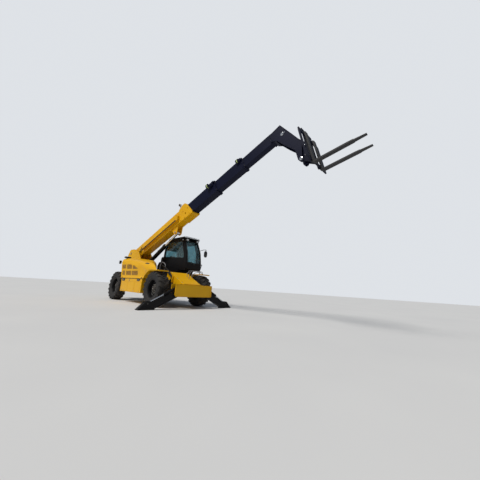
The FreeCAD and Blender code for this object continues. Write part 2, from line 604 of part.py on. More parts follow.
hs, hn = at_boom("hitch_x", "hitch_z")
ts, tn = at_boom("tilt_base_x", "tilt_base_z")
print("hitch along the boom", round(hs, 1), round(hn, 1), "tilt base", round(ts, 1), round(tn, 1))
neck_solid = pad("neck_solid", "XZ", [neck], 0, "neck_half + neck_half")
neck_room = pad("neck_room", "XZ", [[
    (9290, -28), (9665, 9), (9845, -560), (10105, -590), (10105, -1900), (9545, -1900), (9695, -1221, 60), (9485, -802, 60), (9340, -380, 30)]],
    0, "neck_half + neck_half - 2 - 28")
neck_slot = pad("neck_slot", "XZ", [[(9100, -335), (9275, -335), (9275, -37), (9100, -37)]], 0, "neck_half + neck_half - 30")
neck_low = pad("neck_low", "XZ", [[(9605, -1000), (9845, -1060), (10145, -900), (10145, -1900), (9445, -1900)]], 0, "neck_half + neck_half - 30")
neck_all = fuse("neck_and_cheeks",
                cut("neck_all", neck_solid, neck_room, neck_low, box("neck_bore", 9100, 9270, -155, 155, -430, 60)),
                box("neck_cheek_l", 9175, 9275, 110.3, 158, -300, -50), box("neck_cheek_r", 9175, 9275, -158, -110.3, -300, -50))
neck_pins = [across("hitch_pin", 39.5, hs, hn, -182, 182), across("tilt_pin", 34.5, ts, tn, -182, 182)]
node("boom_head", fuse("neck_with_pins", neck_all, *neck_pins), boom_at)

# ---------------------------------------------------------------- lift cylinder
p = Vector(num("lift_base_x"), 0, num("lift_base_z"))
c, s_ = math.cos(math.radians(ang)), math.sin(math.radians(ang))
e = Vector(num("pivot_x") + eye_s * c - eye_n * s_, 0, num("pivot_z") + eye_s * s_ + eye_n * c)
print("lift eye", e, "direction", (e - p).normalize())
way = (e - p).normalize()
side_y = Vector(0, 1, 0)
lift = cut("lift_barrel_all",
           fuse("lift_tube", rod("lift_body", "lift_radius", p + way * 60, p + way * num("lift_barrel")),
                rod("lift_base", 84, p - side_y * 110, p + side_y * 110)),
           rod("lift_hollow", "lift_bore", p + way * 150, p + way * (num("lift_barrel") + 40)),
           rod("lift_basehole", 45, p - side_y * 200, p + side_y * 200))
node("lift_barrel", lift)
stem = cut("lift_rod_all",
           fuse("lift_stem", rod("lift_shaft", "lift_rod", p + way * 1750, e - way * 40),
                rod("lift_tip", "eye_radius", e - side_y * 85, e + side_y * 85)),
           rod("lift_tiphole", 30, e - side_y * 200, e + side_y * 200))
node("lift_rod", stem)

# ---------------------------------------------------------------- tilt cylinder
p = Vector(num("tilt_base_x"), 0, num("tilt_base_z"))
e = Vector(num("tilt_eye_x"), 0, num("tilt_eye_z"))
way = (e - p).normalize()
tilt = cut("tilt_barrel_all",
           fuse("tilt_tube", rod("tilt_body", "tilt_radius", p + way * 50, p + way * num("tilt_barrel")),
                rod("tilt_base", 66, p - side_y * 60, p + side_y * 60)),
           rod("tilt_hollow", "tilt_bore", p + way * 110, p + way * (num("tilt_barrel") + 40)),
           rod("tilt_basehole", 35, p - side_y * 200, p + side_y * 200))
node("tilt_barrel", tilt)
stem = cut("tilt_rod_all",
           fuse("tilt_stem", rod("tilt_shaft", "tilt_rod", p + way * 330, e - way * 45),
                rod("tilt_tip", 52, e - side_y * 45, e + side_y * 45)),
           rod("tilt_tiphole", 24, e - side_y * 100, e + side_y * 100))
node("tilt_rod", stem)

# ---------------------------------------------------------------- fork carriage
# Drawn with the forks level: a = ahead of the hitch pin, b = above it; then tipped back by fork_tilt.
tip = num("fork_tilt")
hitch_at = Placement(Vector(num("hitch_x"), 0, num("hitch_z")), Rotation(Vector(0, 1, 0), -tip))
link_dx, link_dz = num("tilt_eye_x") - num("hitch_x"), num("tilt_eye_z") - num("hitch_z")
c, s_ = math.cos(math.radians(tip)), math.sin(math.radians(tip))
la, lb = link_dx * c + link_dz * s_, -link_dx * s_ + link_dz * c
print("tilt eye on the carriage", round(la, 1), round(lb, 1))
cheek = [(-60, -60, 50), (60, -75, 40), (270, -235), (270, 560), (215, 560, 30), (la - 70, lb + 75, 50), (-60, 60, 50)]
cheeks = [pad("cheek_%s" % s, "XZ", [cheek], y, 30) for s, y in (("l", 90), ("r", -90))]
posts = [box("post_%s" % s, 250, 290, y - 35, y + 35, -330, 830) for s, y in (("l", 222), ("r", -222))]
rails = [box("rail_top", 289, 330, "0 - carriage_half", "carriage_half", 560, 650),
         box("rail_low", 289, 330, "0 - carriage_half", "carriage_half", -330, -240)]
ends = [box("end_%s" % s, 280, 330, y - 25, y + 25, -240, 560) for s, y in (("l", 590), ("r", -590))]
guard = [box("guard_top", 268, 300, -300, 300, 790, 850), box("web_low", 268, 290, -250, 250, -240, 180),
         box("web_top", 268, 290, -250, 250, 640, 700),
         box("web_l", 268, 290, 80, 250, 180, 640), box("web_r", 268, 290, -250, -80, 180, 640)]
carriage = cut("carriage_all", fuse("carriage_parts", *(cheeks + posts + rails + ends + guard)),
               across("carriage_hitch", 40, 0, 0, -300, 300))
ears = [across("link_ear_%s" % s, 46, la, lb, y - 12, y + 12) for s, y in (("l", 114), ("r", -114))]
node("fork_carriage", fuse("carriage_with_ears", carriage, *ears), hitch_at)
for side, s in SIDES:
    y = s * num("fork_y")
    wide = num("fork_wide")
    blade = pad("blade_" + side, "XZ", [[
        (331, -419, 40), (331 + 1320, -405), (331 + 1320, -390), (331 + 900, -369), (381, -369, 15), (381, 640), (331, 660)]],
        y, "fork_wide",
        cuts=[("XY", [[(1360, y + 50), (1700, y + 40), (1700, y + 200), (1360, y + 200)],
                      [(1360, y - 50), (1700, y - 40), (1700, y - 200), (1360, y - 200)]], -380, 400)])
    hooks = [box("hook_top_" + side, 291, 340, y - wide / 2 + 10, y + wide / 2 - 10, 651, 690),
             box("hook_low_" + side, 291, 340, y - wide / 2 + 10, y + wide / 2 - 10, -372, -331)]
    node("fork_" + side, fuse("fork_all_" + side, blade, *hooks), hitch_at)

doc.recompute()
bad = [o.Name for o in doc.Objects if any(w in o.State for w in ("Invalid", "Error"))]
if bad:
    raise RuntimeError("failed objects: %s" % bad)
os.makedirs("parts", exist_ok=True)
for word, obj in nodes:
    shape = obj.Shape
    if shape.isNull() or not shape.isValid():
        raise RuntimeError("bad shape: " + word)
    shape.exportStep("parts/%s.step" % word)
    bb = shape.optimalBoundingBox(False)
    print("%-26s solids %d  X %8.1f %8.1f  Y %8.1f %8.1f  Z %8.1f %8.1f" % (
        word, len(shape.Solids), bb.XMin, bb.XMax, bb.YMin, bb.YMax, bb.ZMin, bb.ZMax))
print(len(nodes), "nodes")
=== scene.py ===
import json
import math
import random

import bmesh
import bpy
from mathutils import Matrix, Vector
from mathutils import noise as mnoise


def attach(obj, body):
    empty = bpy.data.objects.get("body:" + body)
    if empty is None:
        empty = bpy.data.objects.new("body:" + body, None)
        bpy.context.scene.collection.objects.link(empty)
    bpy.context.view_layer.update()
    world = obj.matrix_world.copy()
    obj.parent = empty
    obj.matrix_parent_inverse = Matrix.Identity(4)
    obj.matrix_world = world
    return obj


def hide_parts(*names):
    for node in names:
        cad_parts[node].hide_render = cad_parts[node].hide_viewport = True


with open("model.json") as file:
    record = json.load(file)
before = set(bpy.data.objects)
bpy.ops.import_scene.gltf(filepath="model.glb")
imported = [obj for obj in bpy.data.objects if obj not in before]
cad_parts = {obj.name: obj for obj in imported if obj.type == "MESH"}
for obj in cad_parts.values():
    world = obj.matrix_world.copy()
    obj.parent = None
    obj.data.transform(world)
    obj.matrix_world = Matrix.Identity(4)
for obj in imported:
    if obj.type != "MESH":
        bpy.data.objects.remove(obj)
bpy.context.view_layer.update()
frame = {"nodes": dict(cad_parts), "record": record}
N = frame["nodes"]
random.seed(7)

# Machine coordinates: metres, X = 0 at the rear axle. The row frame is SX behind them.
SX = 4.590
WB, TYRE_R, WHEEL_Y = 3.440, 0.600, 0.975
PIVOT = (-0.850, 0.0, 2.165)
ANG = math.radians(22.1)
BOOM_U = Vector((math.cos(ANG), 0, math.sin(ANG)))
BOOM_V = Vector((-math.sin(ANG), 0, math.cos(ANG)))
TIP = math.radians(12.2)
HITCH = (8.812, 0.0, 4.347)
CAR_U = Vector((math.cos(TIP), 0, math.sin(TIP)))
CAR_V = Vector((-math.sin(TIP), 0, math.cos(TIP)))
YY = Vector((0, 1, 0))
ZZ = Vector((0, 0, 1))
XX = Vector((1, 0, 0))


def at(x, y, z):
    """A machine point in the row frame."""
    return Vector((x - SX, y, z))


def bo(s, y, n):
    """A point given along the boom: s ahead of the pivot, n above it."""
    return at(*PIVOT) + BOOM_U * s + YY * y + BOOM_V * n


def ca(a, y, b):
    """A point on the carriage: a ahead of the hitch pin, b above it, forks level."""
    return at(*HITCH) + CAR_U * a + YY * y + CAR_V * b


# ------------------------------------------------------------------ camera
def set_camera():
    yaw, pitch, roll, focal = math.radians(133.12), math.radians(18.29), math.radians(3.52), 225.8
    pos = at(11.396, -5.293, 0.790)
    fwd = Vector((math.cos(yaw) * math.cos(pitch), math.sin(yaw) * math.cos(pitch), math.sin(pitch)))
    right0 = Vector((math.sin(yaw), -math.cos(yaw), 0))
    up0 = right0.cross(fwd)
    right = math.cos(roll) * right0 + math.sin(roll) * up0
    up = -math.sin(roll) * right0 + math.cos(roll) * up0
    cam = bpy.data.objects.new("camera", bpy.data.cameras.new("camera"))
    bpy.context.scene.collection.objects.link(cam)
    m = Matrix((right, up, -fwd)).transposed().to_4x4()
    m.translation = pos
    cam.matrix_world = m
    cam.data.sensor_width = 36
    cam.data.lens = focal / 480 * 36
    cam.data.shift_y = -26.5 / 480
    cam.data.clip_start, cam.data.clip_end = 0.05, 200
    bpy.context.scene.camera = cam


set_camera()


# ------------------------------------------------------------------ materials
class Nodes:
    """Short forms for building a node tree."""

    def __init__(self, name):
        self.mat = bpy.data.materials.new(name)
        self.mat.use_nodes = True
        self.t = self.mat.node_tree
        self.t.nodes.clear()
        self.out = self.t.nodes.new("ShaderNodeOutputMaterial")
        self.bsdf = self.t.nodes.new("ShaderNodeBsdfPrincipled")
        self.t.links.new(self.bsdf.outputs[0], self.out.inputs[0])
        self.co = self.t.nodes.new("ShaderNodeTexCoord").outputs["Object"]

    def new(self, kind, **props):
        n = self.t.nodes.new(kind)
        for k, v in props.items():
            setattr(n, k, v)
        return n

    def link(self, a, b):
        self.t.links.new(a, b)

    def noise(self, scale, detail=3.0, rough=0.5, stretch=None, kind="ShaderNodeTexNoise"):
        n = self.new(kind)
        n.inputs["Scale"].default_value = scale
        if "Detail" in n.inputs:
            n.inputs["Detail"].default_value = detail
            n.inputs["Roughness"].default_value = rough
        if stretch:
            m = self.new("ShaderNodeMapping")
            m.inputs["Scale"].default_value = stretch
            self.link(self.co, m.inputs["Vector"])
            self.link(m.outputs[0], n.inputs["Vector"])
        else:
            self.link(self.co, n.inputs["Vector"])
        return n.outputs[0]

    def ramp(self, value, lo, hi, a=0.0, b=1.0):
        n = self.new("ShaderNodeMapRange")
        n.inputs["From Min"].default_value = lo
        n.inputs["From Max"].default_value = hi
        n.inputs["To Min"].default_value = a
        n.inputs["To Max"].default_value = b
        self.link(value, n.inputs["Value"])
        return n.outputs[0]

    def math(self, op, a, b=None):
        n = self.new("ShaderNodeMath", operation=op)
        for i, v in enumerate((a, b)):
            if v is None:
                continue
            if isinstance(v, (int, float)):
                n.inputs[i].default_value = v
            else:
                self.link(v, n.inputs[i])
        return n.outputs[0]

    def mix(self, fac, a, b, blend="MIX"):
        n = self.new("ShaderNodeMix", data_type="RGBA", blend_type=blend)
        for key, v in ((0, fac), (6, a), (7, b)):
            if isinstance(v, (int, float)):
                n.inputs[key].default_value = v
            elif isinstance(v, tuple):
                n.inputs[key].default_value = v if len(v) == 4 else v + (1.0,)
            else:
                self.link(v, n.inputs[key])
        return n.outputs[2]

    def height(self):
        """Height above the floor, and how far the face looks up."""
        s = self.new("ShaderNodeSeparateXYZ")
        self.link(self.co, s.inputs[0])
        g = self.new("ShaderNodeNewGeometry")
        u = self.new("ShaderNodeSeparateXYZ")
        self.link(g.outputs["Normal"], u.inputs[0])
        return s.outputs[2], u.outputs[2]

    def edge(self, radius, lo=0.02, hi=0.25):
        """1 on outer edges, 0 on flats."""
        b = self.new("ShaderNodeBevel", samples=4)
        b.inputs["Radius"].default_value = radius
        g = self.new("ShaderNodeNewGeometry")
        d = self.new("ShaderNodeVectorMath", operation="DOT_PRODUCT")
        self.link(b.outputs[0], d.inputs[0])
        self.link(g.outputs["Normal"], d.inputs[1])
        one = self.math("SUBTRACT", 1.0, d.outputs["Value"])
        return self.ramp(one, lo, hi)

    def bump(self, heights, bevel=0.0):
        """heights: list of (value, strength, distance), chained. bevel rounds sharp edges."""
        last = None
        if bevel:
            b = self.new("ShaderNodeBevel", samples=4)
            b.inputs["Radius"].default_value = bevel
            last = b.outputs[0]
        for value, strength, distance in heights:
            n = self.new("ShaderNodeBump")
            n.inputs["Strength"].default_value = strength
            n.inputs["Distance"].default_value = distance
            self.link(value, n.inputs["Height"])
            if last is not None:
                self.link(last, n.inputs["Normal"])
            last = n.outputs[0]
        self.link(last, self.bsdf.inputs["Normal"])

    def set(self, **values):
        for k, v in values.items():
            key = k.replace("_", " ")
            if isinstance(v, (int, float)):
                self.bsdf.inputs[key].default_value = v
            elif isinstance(v, tuple):
                self.bsdf.inputs[key].default_value = v if len(v) == 4 else v + (1.0,)
            else:
                self.link(v, self.bsdf.inputs[key])


def paint(name, base, deep, dust, rough=0.34, dusty=0.35, wear=(0.30, 0.27, 0.22), worn=0.5, bevel=0.004, coat=0.2, spec=0.4):
    """Sprayed machine paint: slow tone change, fine grit, dust low down and on what looks up, rubbed edges."""
    n = Nodes(name)
    slow = n.ramp(n.noise(0.9, 3, 0.55), 0.35, 0.65)
    fine = n.ramp(n.noise(38, 6, 0.65), 0.40, 0.72)
    streak = n.ramp(n.noise(5, 4, 0.6, stretch=(5, 5, 0.5)), 0.48, 0.75)
    grit = n.ramp(n.noise(170, 3, 0.7), 0.55, 0.8)
    z, up = n.height()
    col = n.mix(slow, base, deep)
    low = n.ramp(z, 1.7, 0.25)
    top = n.ramp(up, 0.3, 1.0)
    where = n.math("MULTIPLY", n.math("MAXIMUM", low, n.math("MULTIPLY", top, 0.75)), n.ramp(fine, 0, 1, 0.25, 1.0))
    where = n.math("MULTIPLY", where, dusty)
    run = n.math("MULTIPLY", streak, 0.10 * dusty / 0.35)
    col = n.mix(n.math("MAXIMUM", where, run), col, dust)
    edge = n.math("MULTIPLY", n.edge(0.010), n.ramp(n.noise(22, 5, 0.7), 0.52, 0.68))
    col = n.mix(n.math("MULTIPLY", edge, worn), col, wear)
    n.set(Base_Color=col)
    r = n.math("ADD", n.ramp(fine, 0, 1, rough - 0.05, rough + 0.10), n.math("MULTIPLY", where, 0.5))
    n.set(Roughness=r)
    n.set(Coat_Weight=coat, Coat_Roughness=0.18, Specular_IOR_Level=spec)
    n.bump([(n.noise(1.6, 2, 0.5), 0.05, 0.02), (n.noise(260, 2, 0.5), 0.03, 0.001)], bevel)
    return n.mat


def rubber(name, base, dust, dusty=0.5, scale=1.0, tread=False):
    n = Nodes(name)
    fine = n.noise(60 * scale, 6, 0.7)
    big = n.ramp(n.noise(4, 4, 0.6), 0.38, 0.66)
    grain = n.noise(420, 3, 0.6)
    much = n.math("MULTIPLY", n.math("MULTIPLY", big, n.ramp(fine, 0.35, 0.75)), dusty)
    if tread:
        # earth stays on the tread, which faces away from the axle; the side walls are cleaner
        s = n.new("ShaderNodeSeparateXYZ")
        n.link(n.new("ShaderNodeNewGeometry").outputs["Normal"], s.inputs[0])
        out = n.ramp(n.math("ABSOLUTE", s.outputs[1]), 0.75, 0.35)
        much = n.math("ADD", n.math("MULTIPLY", much, n.ramp(out, 0, 1, 0.5, 1.1)), n.math("MULTIPLY", out, 0.10))
    col = n.mix(much, base, dust)
    n.set(Base_Color=col, Roughness=n.ramp(fine, 0.3, 0.7, 0.62, 0.9), Specular_IOR_Level=0.35)
    n.bump([(fine, 0.25, 0.004), (grain, 0.18, 0.001)], 0.003)
    return n.mat


def metal(name, base, rough, streaky=0.0, dark=0.6, bevel=0.002):
    n = Nodes(name)
    g = n.noise(90, 5, 0.65)
    s = n.noise(14, 4, 0.6, stretch=(1, 1, 9))
    tone = tuple(v * dark for v in base[:3])
    n.set(Base_Color=n.mix(n.ramp(g, 0.42, 0.75, 0.0, 0.8), base, tone), Metallic=1.0,
          Roughness=n.math("ADD", n.ramp(g, 0.3, 0.7, rough * 0.7, rough * 1.4), n.math("MULTIPLY", s, streaky)))
    n.bump([(g, 0.06, 0.001)], bevel)
    return n.mat


def plastic(name, base, rough=0.5, grain=300.0, bump=0.12, bevel=0.002, dust=0.12):
    n = Nodes(name)
    a = n.noise(grain, 3, 0.6)
    b = n.ramp(n.noise(7, 4, 0.6), 0.42, 0.7)
    n.set(Base_Color=n.mix(n.math("MULTIPLY", b, dust), base, (0.30, 0.27, 0.23)),
          Roughness=n.ramp(a, 0.3, 0.7, rough - 0.06, rough + 0.10))
    n.bump([(a, bump, 0.0008)], bevel)
    return n.mat


def glass(name, tint, clear=0.8, rough=0.015):
    n = Nodes(name)
    b = n.ramp(n.noise(3.0, 4, 0.6), 0.42, 0.75)
    n.set(Base_Color=n.mix(n.math("MULTIPLY", b, 0.16), tint, (0.55, 0.58, 0.55)), Roughness=n.ramp(b, 0, 1, rough, rough + 0.05))
    n.set(Transmission_Weight=clear, IOR=1.45, Specular_IOR_Level=0.55)
    n.bump([(n.noise(1.4, 1, 0.4), 0.02, 0.01)])
    return n.mat


def cloth(name, base, thread=900.0):
    n = Nodes(name)
    w1 = n.new("ShaderNodeTexWave", wave_type="BANDS", bands_direction="Y")
    w1.inputs["Scale"].default_value = thread / 6
    w1.inputs["Distortion"].default_value = 0.6
    w2 = n.new("ShaderNodeTexWave", wave_type="BANDS", bands_direction="DIAGONAL")
    w2.inputs["Scale"].default_value = thread / 6
    w2.inputs["Distortion"].default_value = 0.6
    n.link(n.co, w1.inputs["Vector"])
    n.link(n.co, w2.inputs["Vector"])
    weave = n.math("MULTIPLY", w1.outputs[1], w2.outputs[1])
    soft = n.ramp(n.noise(6, 4, 0.6), 0.35, 0.7)
    pale = tuple(min(1.0, v * 2.4 + 0.01) for v in base[:3])
    n.set(Base_Color=n.mix(n.math("MULTIPLY", soft, 0.5), n.mix(weave, base, pale), pale), Roughness=0.92, Sheen_Weight=0.35, Sheen_Roughness=0.45)
    n.bump([(weave, 0.35, 0.0012), (n.noise(40, 3, 0.6), 0.12, 0.003)])
    return n.mat


def lens(name, base, glow=0.0):
    n = Nodes(name)
    v = n.new("ShaderNodeTexVoronoi", feature="F1")
    v.inputs["Scale"].default_value = 120
    n.link(n.co, v.inputs["Vector"])
    n.set(Base_Color=n.mix(n.ramp(v.outputs[0], 0.0, 0.6), base, tuple(c * 0.7 for c in base)), Roughness=0.08, Coat_Weight=1.0, Coat_Roughness=0.03)
    n.set(Specular_IOR_Level=0.8)
    n.bump([(v.outputs[0], 0.3, 0.002)])
    return n.mat


YELLOW = paint("yellow_paint", (0.745, 0.405, 0.004), (0.69, 0.355, 0.003), (0.46, 0.29, 0.09), rough=0.34, dusty=0.06, wear=(0.20, 0.12, 0.04), worn=0.30, coat=0.05, spec=0.2)
OCHRE = paint("grille_paint", (0.40, 0.20, 0.012), (0.34, 0.165, 0.010), (0.36, 0.28, 0.17), rough=0.5, dusty=0.3, coat=0.05)
# dark paint, a little bluer than the real machine's: part of its blue is a painted sky reflection
NAVY_WITH_SKY_SHEEN = paint("dark_paint", (0.0040, 0.0055, 0.021), (0.0033, 0.0046, 0.017), (0.04, 0.042, 0.054), rough=0.44, dusty=0.05, wear=(0.07, 0.07, 0.085), worn=0.22, coat=0.015, spec=0.11)
BLACK = paint("black_paint", (0.0055, 0.0053, 0.0063), (0.0046, 0.0045, 0.0052), (0.06, 0.053, 0.046), rough=0.42, dusty=0.06, wear=(0.07, 0.066, 0.062), worn=0.32, coat=0.025, spec=0.15)
GREY = paint("frame_grey", (0.021, 0.0205, 0.023), (0.017, 0.0165, 0.018), (0.15, 0.125, 0.096), rough=0.5, dusty=0.4, wear=(0.12, 0.105, 0.09), worn=0.5, coat=0.04, spec=0.28)
FORK = paint("fork_steel", (0.020, 0.020, 0.023), (0.016, 0.016, 0.018), (0.10, 0.09, 0.08), rough=0.48, dusty=0.15, wear=(0.14, 0.13, 0.12), worn=0.6, coat=0.03, spec=0.25)
IRON = paint("engine_iron", (0.085, 0.085, 0.088), (0.06, 0.06, 0.06), (0.10, 0.08, 0.06), rough=0.6, dusty=0.4, coat=0.0)
RAIL = paint("rail_grey", (0.20, 0.20, 0.21), (0.17, 0.17, 0.18), (0.30, 0.27, 0.22), rough=0.38, dusty=0.25, wear=(0.4, 0.4, 0.4), worn=0.4)
RUBBER = rubber("tyre_rubber", (0.0165, 0.0165, 0.018), (0.140, 0.110, 0.080), 0.46, tread=True)
SEAL = rubber("seal_rubber", (0.012, 0.012, 0.012), (0.06, 0.055, 0.05), 0.4)
HOSE = rubber("hose_rubber", (0.015, 0.015, 0.016), (0.07, 0.062, 0.05), 0.4)
CHROME = metal("rod_chrome", (0.74, 0.75, 0.77), 0.10, 0.03, 0.85)
ZINC = metal("bolt_zinc", (0.46, 0.44, 0.40), 0.34, 0.05, 0.6)
BRASS = metal("brass", (0.60, 0.42, 0.17), 0.34, 0.05, 0.7)
TRIM = plastic("trim_plastic", (0.016, 0.016, 0.017), 0.52)
TRIM2 = plastic("dash_plastic", (0.050, 0.051, 0.054), 0.6, 420.0)
PAD = plastic("wear_pad", (0.42, 0.52, 0.20), 0.55, 200.0, 0.08)
GLASS = glass("cab_glass", (0.50, 0.80, 0.86), 0.93)
MIRROR = metal("mirror_face", (0.80, 0.82, 0.84), 0.03, 0.0, 0.97, 0.0)
CLOTH = cloth("seat_cloth", (0.016, 0.016, 0.019))
LENS = lens("lamp_lens", (0.78, 0.79, 0.80))
AMBER = lens("amber_lens", (0.80, 0.26, 0.02))
RED = lens("red_lens", (0.55, 0.02, 0.015))
MAT_OF = {
    "yellow_paint": YELLOW, "dark_paint": NAVY_WITH_SKY_SHEEN, "black_paint": BLACK, "frame_grey": GREY, "tyre_rubber": RUBBER,
    "rod_chrome": CHROME, "cab_glass": GLASS, "seat_cloth": CLOTH, "trim_plastic": TRIM, "grille_mesh": OCHRE,
    "engine_iron": IRON, "fork_steel": FORK,
}
for part in frame["record"]["subparts"]:
    o = N[part["node"]]
    o.data.materials.clear()
    o.data.materials.append(MAT_OF[part["material_slot"]])


# ------------------------------------------------------------------ shapes
def frame_of(axis):
    """Two directions square to axis."""
    a = Vector(axis).normalized()
    ref = ZZ if abs(a.z) < 0.9 else XX
    u = ref.cross(a).normalized()
    return a, u, a.cross(u)


def add_face(bm, vs):
    try:
        return bm.faces.new(vs)
    except ValueError:
        return None


def add_loft(bm, rings, close_ring=True, cap=True, close_path=False):
    """Rings of points, each the same count, joined in turn."""
    vs = [[bm.verts.new(p) for p in r] for r in rings]
    k = len(vs[0])
    span = len(vs) if close_path else len(vs) - 1
    for i in range(span):
        a, b = vs[i], vs[(i + 1) % len(vs)]
        for j in range(k if close_ring else k - 1):
            add_face(bm, (a[j], a[(j + 1) % k], b[(j + 1) % k], b[j]))
    if cap and close_ring and not close_path:
        add_face(bm, vs[0][::-1])
        add_face(bm, vs[-1])
    return vs


def add_lathe(bm, prof, origin, axis, seg=48, closed=False):
    """prof: (distance along axis, radius). closed joins its end to its start."""
    a, u, v = frame_of(axis)
    o = Vector(origin)
    cols = []
    for i in range(seg):
        t = 2 * math.pi * i / seg
        d = u * math.cos(t) + v * math.sin(t)
        cols.append([o + a * s + d * r for s, r in prof])
    vs = [[bm.verts.new(p) for p in c] for c in cols]
    k = len(prof)
    for i in range(seg):
        c0, c1 = vs[i], vs[(i + 1) % seg]
        for j in range(k if closed else k - 1):
            j2 = (j + 1) % k
            add_face(bm, (c0[j], c1[j], c1[j2], c0[j2]))
    if not closed:
        for j, (s, r) in ((0, prof[0]), (k - 1, prof[-1])):
            if r > 1e-6:
                ring = [vs[i][j] for i in range(seg)]
                add_face(bm, ring if j == 0 else ring[::-1])
    bmesh.ops.remove_doubles(bm, verts=[v for c in vs for v in c if v.is_valid], dist=1e-6)


def add_cyl(bm, a, b, r, seg=24, r2=None, lip=0.0):
    a, b = Vector(a), Vector(b)
    length = (b - a).length
    r2 = r if r2 is None else r2
    e = min(lip, length * 0.4)
    prof = [(0, 0), (0, r - e), (e, r), (length - e, r2), (length, r2 - e), (length, 0)] if e else [(0, 0), (0, r), (length, r2), (length, 0)]
    add_lathe(bm, prof, a, b - a, seg)


def add_box(bm, lo, hi, axes=None, origin=None):
    """A box between two corners; axes and origin place it in another frame."""
    cs = [(x, y, z) for x in (lo[0], hi[0]) for y in (lo[1], hi[1]) for z in (lo[2], hi[2])]
    if axes:
        o = Vector(origin or (0, 0, 0))
        cs = [o + axes[0] * c[0] + axes[1] * c[1] + axes[2] * c[2] for c in cs]
    vs = [bm.verts.new(c) for c in cs]
    for f in ((0, 1, 3, 2), (4, 6, 7, 5), (0, 4, 5, 1), (2, 3, 7, 6), (0, 2, 6, 4), (1, 5, 7, 3)):
        add_face(bm, [vs[i] for i in f])


def rounded(points, n=5):
    """An outline with its corners rounded. points: (a, b, radius)."""
    out = []
    k = len(points)
    for i, p in enumerate(points):
        here = Vector((p[0], p[1]))
        r = p[2] if len(p) > 2 else 0
        if r <= 0:
            out.append(tuple(here))
            continue
        u = (Vector(points[i - 1][:2]) - here)
        v = (Vector(points[(i + 1) % k][:2]) - here)
        lu, lv = u.length, v.length
        u.normalize(), v.normalize()
        half = u.angle(v) / 2
        c = min(r / math.tan(half), lu * 0.49, lv * 0.49)
        r = c * math.tan(half)
        mid = (u + v).normalized()
        cen = here + mid * (r / math.sin(half))
        a, b = here + u * c - cen, here + v * c - cen
        ang = a.angle_signed(b)
        for j in range(n + 1):
            t = -ang * j / n
            q = Vector((a.x * math.cos(t) - a.y * math.sin(t), a.x * math.sin(t) + a.y * math.cos(t)))
            out.append(tuple(cen + q))
    return out


def add_prism(bm, outline, origin, ua, ub, un, depth):
    """An outline in (ua, ub), padded along un from -depth/2 to depth/2."""
    o = Vector(origin)
    r0 = [bm.verts.new(o + ua * a + ub * b - un * depth / 2) for a, b in outline]
    r1 = [bm.verts.new(o + ua * a + ub * b + un * depth / 2) for a, b in outline]
    k = len(outline)
    for i in range(k):
        add_face(bm, (r0[i], r0[(i + 1) % k], r1[(i + 1) % k], r1[i]))
    add_face(bm, r0[::-1])
    add_face(bm, r1)


def add_tube(bm, pts, r, seg=10, cap=True):
    """A round bar along a polyline; radius a number or one per point."""
    pts = [Vector(p) for p in pts]
    n = len(pts)
    tang = [(pts[min(i + 1, n - 1)] - pts[max(i - 1, 0)]).normalized() for i in range(n)]
    _, u, _ = frame_of(tang[0])
    rings = []
    for i, p in enumerate(pts):
        u = (u - tang[i] * u.dot(tang[i])).normalized()
        v = tang[i].cross(u)
        rr = r[i] if isinstance(r, (list, tuple)) else r
        rings.append([p + (u * math.cos(2 * math.pi * j / seg) + v * math.sin(2 * math.pi * j / seg)) * rr for j in range(seg)])
    add_loft(bm, rings, cap=cap)


def bent(points, r, n=6):
    """A polyline in space with its corners rounded by radius r, for bent bar."""
    pts = [Vector(p) for p in points]
    out = [pts[0]]
    for i in range(1, len(pts) - 1):
        u, v = pts[i - 1] - pts[i], pts[i + 1] - pts[i]
        lu, lv = u.length, v.length
        u.normalize(), v.normalize()
        half = u.angle(v) / 2
        if half > math.radians(89):
            out.append(pts[i])
            continue
        c = min(r / math.tan(half), lu * 0.45, lv * 0.45)
        rr = c * math.tan(half)
        mid = (u + v).normalized()
        cen = pts[i] + mid * (rr / math.sin(half))
        a, b = (pts[i] + u * c) - cen, (pts[i] + v * c) - cen
        for j in range(n + 1):
            t = j / n
            w = a.angle(b)
            q = (a * math.sin((1 - t) * w) + b * math.sin(t * w)) / math.sin(w)
            out.append(cen + q)
    out.append(pts[-1])
    return out


def add_bolt(bm, at_, axis, af=0.030, high=0.014, washer=True, stud=0.0):
    """A hex head standing on at_, with its washer, and a stud end through it where stud > 0."""
    a, u, v = frame_of(axis)
    o = Vector(at_)
    base = 0.0
    if washer:
        add_lathe(bm, [(0, 0), (0, af * 0.92), (af * 0.09, af * 0.92), (af * 0.09, 0)], o, a, 20)
        base = af * 0.09
    r = af / math.sqrt(3)
    ring = [u * math.cos(math.pi / 3 * i) + v * math.sin(math.pi / 3 * i) for i in range(6)]
    lift = [(base, r), (base + high * 0.82, r), (base + high, r * 0.86)]
    add_loft(bm, [[o + a * h + d * rr for d in ring] for h, rr in lift])
    if stud:
        add_cyl(bm, o + a * (base + high - 0.001), o + a * (base + high + stud), af * 0.30, 12, lip=af * 0.05)


PIECES = {}


def piece(name, bm, mat, body, sharp=35.0, bevel=0.0, seg=2, replaces=(), subsurf=0):
    """A finished object from a bmesh, riding on a body."""
    bmesh.ops.recalc_face_normals(bm, faces=bm.faces[:])
    me = bpy.data.meshes.new(name)
    bm.to_mesh(me)
    bm.free()
    return from_mesh(name, me, mat, body, sharp, bevel, seg, replaces, subsurf)


